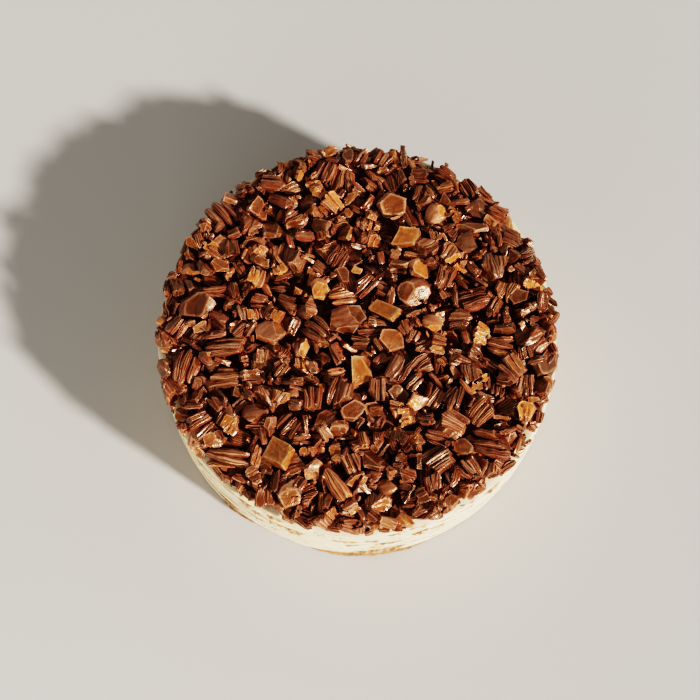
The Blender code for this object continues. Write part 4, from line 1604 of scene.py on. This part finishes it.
@dataclass
class NutHeap:
    """The glazed nuts on the cake: a dark core, and pieces dropped on it one after another.

    The core profile is (radius, height) pairs. Heights are kept on a square field of cells.
    """

    stack: Stack
    seed: int = 41
    cell: float = Nut.cell
    field_cells: int = 115
    core_profile: tuple[Pair, ...] = (
        (0.0, 4.6 * MM), (74.0 * MM, 4.3 * MM), (90.0 * MM, 3.2 * MM), (98.5 * MM, 0.7 * MM))
    core_bump: float = 1.6 * MM
    core_reach: float = 96.0 * MM
    core_swing: float = 1.2 * MM
    core_slope: float = 5.0
    core_least: float = 0.2 * MM
    core_inset: float = 0.6
    core_hole: float = 0.5 * MM
    core_around: int = 180
    core_rings: int = 46
    heap_top: float = 75.5 * MM
    heap_fall: float = 2.0 * MM
    nut_reach: float = 102.8 * MM
    notch: float = 1.1 * MM
    contact_depth: float = 0.9 * MM
    ring: Batch = Batch(40, (12.0 * MM, 17.0 * MM), RING_KINDS,
                        Landing(2.5 * MM, 0.4, 0.45, 4, swing=math.radians(32.0)))
    ring_radius: float = 96.0 * MM
    ring_play: float = 0.3
    bed: Batch = Batch(212, (19.5 * MM, 13.0 * MM), BED_KINDS, Landing(14.0 * MM, 0.4, 0.45, 4))
    rim: Batch = Batch(60, (8.0 * MM, 12.5 * MM), TOP_KINDS, RIM_LANDING)
    rim_radius: float = 98.8 * MM
    edge: Batch = Batch(108, (5.0 * MM, 8.5 * MM), TOP_KINDS, RIM_LANDING)
    edge_radius: float = 99.8 * MM
    rim_play: float = 0.4
    rim_swing: float = 0.022
    top: Batch = Batch(440, (15.0 * MM, 9.0 * MM), TOP_KINDS,
                       Landing(9.0 * MM, 0.5, 0.2, 3, roll=True))
    small: Batch = Batch(280, (11.5 * MM, 5.5 * MM), SMALL_KINDS,
                         Landing(7.0 * MM, 0.8, 0.1, 3, roll=True))
    crumbs: Batch = Batch(260, (3.6 * MM, 1.5 * MM), (NutKind.CRUMB,),
                          Landing(6.0 * MM, 1.0, 0.6, 1, 2))
    length_power: float = 0.6
    length_inset: float = 0.36
    slot_step: int = 37
    spread_cost: float = 0.12
    marked_turns: int = 4
    marked_tilt: float = 0.16
    inward_step: float = 0.01
    tones: Triple = (0.5, 0.32, 0.18)
    tone_play: float = 0.1
    seen_share: float = 0.3
    seen_depth: float = 0.4 * MM
    side_start: float = 92.0 * MM
    # Shade marks: low ones (on crests and rims of broken faces) give painted highlight, high ones
    # (in grooves) give painted shade.
    crest_shade: float = 0.10
    smooth_shade: float = 0.14
    groove_shade: float = 0.9
    flat_shades: Triple = (0.37, 0.28, 0.0)
    # Painted shade in the gaps between pieces: how dark at most, how far below the surface it
    # starts, and how deep it takes to reach full.
    gap_shade: float = 0.42
    gap_shade_start: float = 0.6 * MM
    gap_shade_depth: float = 5.0 * MM
    level_rounds: int = 10
    nuts: list[Nut] = field(default_factory=list)
    tops: list[tuple] = field(default_factory=list)

    def __post_init__(self) -> None:
        """Lay out the empty field of heights."""
        steps = np.arange(-self.field_cells, self.field_cells + 1) * self.cell
        across, back = np.meshgrid(steps, steps, indexing="ij")
        self.radius = np.hypot(across, back)
        self.angle = np.arctan2(back, across)
        self.base = self.floor + self.core_rise(self.radius)
        self.height = self.base.copy()
        self.level = self.height
        self.covered = np.zeros(self.radius.shape, dtype=bool)
        self.reach = np.full(self.radius.shape, self.nut_reach)

    @property
    def floor(self) -> float:
        """Height of the core's underside."""
        return self.stack.top + self.stack.gap

    def core_rise(self, radius: np.ndarray) -> np.ndarray:
        """Return the height of the core above its underside at a radius."""
        radii, rises = zip(*self.core_profile)
        return np.interp(radius, radii, rises, right=0.0)

    def ceiling(self, col: int, row: int) -> float:
        """Return the height that no piece reaches past at a cell."""
        distance = math.hypot(col, row) * self.cell
        return self.heap_top - self.heap_fall * (distance / self.nut_reach) ** 4

    def rest(self, turn: Matrix, footprint: tuple, col: int, row: int) -> Spot | None:
        """Find how a piece comes to rest at a cell.

        Args:
            turn: how it is turned.
            footprint: its footprint at that turn.
            col: the cell's column, from the middle.
            row: the cell's row, from the middle.

        Returns:
            The spot, or None if the piece would reach past the heap's edge.
        """
        cols = footprint[0] + col + self.field_cells
        rows = footprint[1] + row + self.field_cells
        if cols.min() < 0 or rows.min() < 0 or max(cols.max(), rows.max()) > 2 * self.field_cells:
            return None
        if (self.radius[cols, rows] > self.reach[cols, rows]).any():
            return None
        height = (self.height[cols, rows] - footprint[3]).max() - self.contact_depth
        height = max(height, self.floor - footprint[3].min())
        return Spot(turn, footprint, height, (cols, rows), col, row)

    def settle(self, nut: Nut, spot: Spot, height: float, marked: bool) -> None:
        """Leave a piece where it came to rest.

        Args:
            nut: the piece.
            spot: where it is.
            height: the height of its middle.
            marked: whether the pieces dropped later keep off it.
        """
        nut.turn = spot.turn
        nut.place = Vector((spot.col * self.cell, spot.row * self.cell, height))
        top = spot.footprint[2] + height
        self.height[spot.cells] = np.maximum(self.height[spot.cells], top)
        self.tops.append((spot.cells, top))
        if marked:
            self.covered[spot.cells] = True
        self.nuts.append(nut)

    def drop_marked(self, nut: Nut, across: float, back: float, yaw: float,
                    draw: random.Random) -> None:
        """Lay a piece at a given place and turn, with the small tilt that lets it lie lowest.

        Args:
            nut: the piece.
            across: its place to the right of the middle.
            back: its place behind the middle.
            yaw: its turn in radians.
            draw: the source of its tilt.
        """
        best = None
        for _ in range(self.marked_turns):
            tilt = (draw.gauss(0.0, self.marked_tilt), draw.gauss(0.0, self.marked_tilt), 0.0)
            turn = Matrix.Rotation(yaw, 3, "Z") @ Euler(tilt).to_matrix()
            footprint = nut.footprint(turn)
            spot = None
            inward = 1.0
            while spot is None:
                col = round(across * inward / self.cell)
                row = round(back * inward / self.cell)
                spot = self.rest(turn, footprint, col, row)
                inward -= self.inward_step
            if best is None or spot.height < best.height:
                best = spot
        height = min(best.height, self.ceiling(best.col, best.row) - best.footprint[2].max())
        self.settle(nut, best, height, True)

    def drop_near(self, nut: Nut, distance: float, angle: float, landing: Landing,
                  draw: random.Random, yaw: float = 0.0) -> None:
        """Try a piece at several places and turns round a point, and leave it where it lies lowest.

        Args:
            nut: the piece.
            distance: the point's distance from the middle.
            angle: the point's angle in radians.
            landing: how the piece is tried.
            draw: the source of its places and turns.
            yaw: its mean turn in radians.
        """
        across = distance * math.cos(angle)
        back = distance * math.sin(angle)
        best, least = None, math.inf
        for _ in range(landing.turns):
            tilt = (draw.gauss(0.0, landing.tilt), draw.gauss(0.0, landing.tilt))
            turn = Euler((*tilt, yaw + draw.uniform(-landing.swing, landing.swing))).to_matrix()
            if landing.roll:
                turn = turn @ Matrix.Rotation(draw.uniform(-math.pi, math.pi), 3, "X")
            footprint = nut.footprint(turn)
            if not len(footprint[0]):
                continue
            for attempt in range(landing.tries):
                spread = landing.reach * (attempt + 1) / landing.tries
                col = round((across + draw.uniform(-spread, spread)) / self.cell)
                row = round((back + draw.uniform(-spread, spread)) / self.cell)
                spot = self.rest(turn, footprint, col, row)
                if spot is None or self.covered[spot.cells].mean() > landing.cover_limit:
                    continue
                if spot.height + footprint[2].max() > self.ceiling(col, row) - landing.lower:
                    continue
                base = self.base[col + self.field_cells, row + self.field_cells]
                score = spot.height - base + spread * self.spread_cost
                if score < least:
                    best, least = spot, score
        if best:
            self.settle(nut, best, best.height, False)

    def drop_ring(self, draw: random.Random) -> None:
        """Drop a ring of pieces near the rim, turned more or less along it.

        Args:
            draw: the source of their places and turns.
        """
        for index in range(self.ring.count):
            play = draw.uniform(-self.ring_play, self.ring_play)
            angle = math.tau * (index + play) / self.ring.count
            length = draw.uniform(*self.ring.lengths)
            nut = Nut(self.ring.kinds[index % len(self.ring.kinds)], length, None, draw)
            self.drop_near(nut, self.ring_radius, angle, self.ring.landing, draw,
                           angle + 0.5 * math.pi)

    def drop_rim(self, batch: Batch, radius: float, draw: random.Random) -> None:
        """Drop smaller pieces along the very edge.

        Args:
            batch: the pieces.
            radius: their mean distance from the middle.
            draw: the source of their lengths, places and turns.
        """
        for index in range(batch.count):
            angle = math.tau * (index + draw.uniform(-self.rim_play, self.rim_play)) / batch.count
            length = draw.uniform(*batch.lengths)
            nut = Nut(batch.kinds[index % len(batch.kinds)], length, None, draw)
            distance = radius * draw.uniform(1.0 - 2.0 * self.rim_swing, 1.0 + self.rim_swing)
            self.drop_near(nut, distance, angle, batch.landing, draw, angle + 0.5 * math.pi)

    def falling(self, batch: Batch) -> list[float]:
        """Return lengths that fall from a batch's first to its last, more of them short."""
        first, last = batch.lengths
        return [first + (last - first) * (index / (batch.count - 1)) ** self.length_power
                for index in range(batch.count)]

    def scatter(self, lengths: Sequence[float], batch: Batch, draw: random.Random) -> None:
        """Drop one piece of each length, spread evenly over the heap along a sunflower spiral.

        Args:
            lengths: their lengths.
            batch: their kinds and how they land.
            draw: the source of their places and turns.
        """
        count = len(lengths)
        golden = math.pi * (3.0 - math.sqrt(5.0))
        for index, length in enumerate(lengths):
            slot = (index * self.slot_step) % count
            share = math.sqrt((slot + 0.5) / count)
            distance = (self.nut_reach - self.length_inset * length) * share
            nut = Nut(batch.kinds[index % len(batch.kinds)], length, None, draw)
            self.drop_near(nut, distance, slot * golden, batch.landing, draw)

    def pile(self) -> None:
        """Pile up every piece: a bed, the marked pieces, then smaller ones between them."""
        draw = random.Random(self.seed)
        self.drop_ring(draw)
        self.scatter(self.falling(self.bed)[::2], self.bed, draw)
        bed = len(self.nuts)
        for kind, across, back, yaw, length, width, tone in MARKED_NUTS:
            nut = Nut(NutKind[kind], length * MM, width * MM, draw, Tone[tone].value)
            self.drop_marked(nut, across * MM, back * MM, math.radians(yaw), draw)
        upper = len(self.nuts)
        dents = np.abs(ripple(self.angle, 77, 1.0, (5, 9, 14, 23, 31)))
        self.reach = self.nut_reach - self.notch * dents
        self.drop_rim(self.rim, self.rim_radius, draw)
        self.drop_rim(self.edge, self.edge_radius, draw)
        for batch in (self.top, self.small, self.crumbs):
            self.scatter(self.falling(batch), batch, draw)
        for nut in self.nuts[:bed] + self.nuts[upper:]:
            tone = draw.choices([tone.value for tone in Tone], self.tones)[0]
            nut.tone = min(1.0, max(0.0, tone + draw.gauss(0.0, self.tone_play)))

    def find_level(self) -> None:
        """Find the height of the heap's surface, smoothed over a few cells."""
        self.level = self.height
        for _ in range(self.level_rounds):
            edged = np.pad(self.level, 1, mode="edge")
            beside = edged[:-2, 1:-1] + edged[2:, 1:-1] + edged[1:-1, :-2] + edged[1:-1, 2:]
            self.level = (beside + self.level) / 5.0

    def find_hidden(self) -> None:
        """Find the pieces that are too small or too far under others to need every ridge."""
        for nut, (cells, tops) in zip(self.nuts, self.tops):
            seen = (tops > self.height[cells] - self.seen_depth).mean()
            outside = math.hypot(nut.place.x, nut.place.y) > self.side_start
            nut.hidden = nut.kind is NutKind.CRUMB or (seen < self.seen_share and not outside)

    def gap_shading(self, points: np.ndarray) -> np.ndarray:
        """Find how much painted shade points get from lying deep in the gaps between the pieces.

        Args:
            points: one row of x, y and z for each point.

        Returns:
            How dark the painted shade in the gaps makes each, from 0 to 1.
        """
        cells = np.round(points[:, :2] / self.cell).astype(int) + self.field_cells
        cols, rows = np.clip(cells, 0, 2 * self.field_cells).T
        depth = self.level[cols, rows] - points[:, 2] - self.gap_shade_start
        return self.gap_shade * smooth_step(depth / self.gap_shade_depth)

    def build_core(self, material: bpy.types.Material) -> None:
        """Make the low bumpy core under the pieces.

        Args:
            material: its finish.
        """
        angles = math.tau * np.arange(self.core_around) / self.core_around
        outer = self.core_reach + ripple(angles, 899, self.core_swing, (5, 11, 19, 31))
        rings = [(self.core_inset * outer, self.floor), (outer, self.floor)]
        for step in range(self.core_rings):
            radius = outer * (1.0 - step / self.core_rings) + self.core_hole
            bumps = ripple(angles, 900 + step, 0.45 * self.core_bump, (9, 17, 26, 37, 51))
            rise = self.core_rise(radius) + 0.5 * self.core_bump + bumps
            slope = min(1.0, (step + 0.2) / self.core_slope)
            rings.append((radius, self.floor + np.maximum(slope * rise, self.core_least)))
        new_piece("nut_core", ring_points(angles, rings), ring_faces(len(rings), self.core_around),
                  material, ["pecan_topping"])

    def build_kind(self, kind: NutKind, material: bpy.types.Material) -> None:
        """Make all the pieces of one kind as one object.

        Args:
            kind: the kind.
            material: its finish.
        """
        carver = NutCarver()
        # Crests get painted highlight; smooth-skinned kinds get less of it.
        smoothness = 1.0 - min(1.0, kind.value.ridge_depth / carver.full_depth)
        crest = self.crest_shade + self.smooth_shade * smoothness
        points, faces, marks, grain = [], [], [], []
        total = 0
        for index, nut in enumerate(self.nuts):
            if nut.kind is not kind:
                continue
            piece, sides, groove, broken, along = carver.carve(nut, 1000 + index)
            chance = random.Random(index).random()
            # Painted shade: points deep below the heap's surface are darkened as if shaded in the
            # gaps.
            clear = 1.0 - self.gap_shading(piece)
            skin_shade = 1.0 - (1.0 - crest - self.groove_shade * np.maximum(0.0, groove)) * clear
            # On broken faces the rims get painted highlight, fading to none towards the middle.
            flat_shade = np.interp(groove, (FACE_CORE, FACE_RIM, 0.0), self.flat_shades)
            flat_shade = 1.0 - (1.0 - flat_shade) * clear
            for side, flat in zip(sides, broken):
                shade = flat_shade if flat else skin_shade
                marks += [(1.0 - flat, shade[number], nut.tone, chance) for number in side]
            grain.append(along)
            points.append(piece)
            faces += [[number + total for number in side] for side in sides]
            total += len(piece)
        name = "pecan_halves" if kind is NutKind.HALF else f"pecan_{kind.name.lower()}s"
        new_piece(name, np.concatenate(points), faces, material, ["pecan_topping"],
                  np.array(marks), np.concatenate(grain))

    def build(self, effects: Effects) -> None:
        """Make the core and every kind of piece.

        Args:
            effects: the shared node groups.
        """
        self.pile()
        self.find_level()
        self.find_hidden()
        LOG.info("nut pieces: %d", len(self.nuts))
        self.build_core(CaramelFinish().build(effects))
        material = NutFinish().build(effects)
        for kind in NutKind:
            self.build_kind(kind, material)


# The studio


@dataclass(frozen=True)
class Studio:
    """A plain pale floor, soft light and the camera."""

    floor_size: float = 6.0
    floor_colour: Triple = (0.447, 0.424, 0.393)
    key_direction: Triple = (0.735, -0.458, 0.50)
    key_strength: float = 5.75
    key_angle: float = 4.5
    key_colour: Triple = (1.0, 0.97, 0.93)
    reflector_place: Triple = (-0.30, -0.68, 0.16)
    reflector_aim: Triple = (0.0, 0.0, 0.03)
    reflector_power: float = 3.6
    reflector_size: float = 0.5
    reflector_colour: Triple = (1.0, 0.94, 0.84)
    sky_low: Triple = (0.67, 0.66, 0.645)
    sky_high: Triple = (0.18, 0.178, 0.175)
    camera_place: Triple = (-0.00406, -0.19862, 0.77407)
    camera_tilt: float = 14.971
    lens: float = 74.98
    sensor: float = 36.0
    look: str = "Very High Contrast"

    def build_floor(self) -> None:
        """Lay the floor under the cake."""
        half = 0.5 * self.floor_size
        corners = [(-half, -half, 0.0), (half, -half, 0.0), (half, half, 0.0), (-half, half, 0.0)]
        mesh = bpy.data.meshes.new("floor")
        mesh.from_pydata(corners, [], [(0, 1, 2, 3)])
        material, bench, shader = new_finish("pale_floor")
        bench.fill(shader, {"Base Color": rgba(self.floor_colour), "Roughness": 0.85})
        mesh.materials.append(material)
        floor = bpy.data.objects.new("floor", mesh)
        bpy.context.scene.collection.objects.link(floor)
        floor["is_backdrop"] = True

    @staticmethod
    def hang(lamp: bpy.types.Light, facing: Vector, place: Vector) -> None:
        """Put a lamp in the scene with its back to a direction.

        Args:
            lamp: the lamp.
            facing: the direction that its light comes from.
            place: where it is.
        """
        item = bpy.data.objects.new(lamp.name, lamp)
        item.location = place
        item.rotation_euler = facing.to_track_quat("Z", "Y").to_euler()
        bpy.context.scene.collection.objects.link(item)

    def build_light(self) -> None:
        """Set the key light, a weak reflector in front of the cake and an even sky."""
        lamp = bpy.data.lights.new("key", "SUN")
        lamp.energy = self.key_strength
        lamp.angle = math.radians(self.key_angle)
        lamp.color = self.key_colour
        self.hang(lamp, Vector(self.key_direction), Vector())
        lamp = bpy.data.lights.new("reflector", "AREA")
        lamp.energy = self.reflector_power
        lamp.size = self.reflector_size
        lamp.color = self.reflector_colour
        place = Vector(self.reflector_place)
        self.hang(lamp, place - Vector(self.reflector_aim), place)
        world = bpy.data.worlds.new("studio")
        world.use_nodes = True
        bench = NodeBench(world.node_tree)
        spot = bench.add("TexCoord").outputs["Generated"]
        height = bench.add("SeparateXYZ", {"Vector": spot}).outputs["Z"]
        colour = bench.mix(bench.spread(height, 0.0, 1.0), rgba(self.sky_low), rgba(self.sky_high))
        bench.fill(world.node_tree.nodes["Background"], {"Color": colour})
        bpy.context.scene.world = world

    def build_camera(self) -> None:
        """Set the camera above and in front of the cake."""
        data = bpy.data.cameras.new("camera")
        data.lens = self.lens
        data.sensor_width = self.sensor
        camera = bpy.data.objects.new("camera", data)
        camera.location = self.camera_place
        camera.rotation_euler = (math.radians(self.camera_tilt), 0.0, 0.0)
        bpy.context.scene.collection.objects.link(camera)
        bpy.context.scene.camera = camera

    def build(self) -> None:
        """Set up the whole studio."""
        self.build_floor()
        self.build_light()
        self.build_camera()
        bpy.context.scene.view_settings.view_transform = "Filmic"
        bpy.context.scene.view_settings.look = self.look


def main() -> None:
    """Dress the cake."""
    logging.basicConfig(level=logging.INFO, format="%(message)s")
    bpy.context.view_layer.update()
    effects = Effects()
    stack = Stack()
    stack.build(effects)
    NutHeap(stack).build(effects)
    Studio().build()


if __name__ == "__main__":
    main()
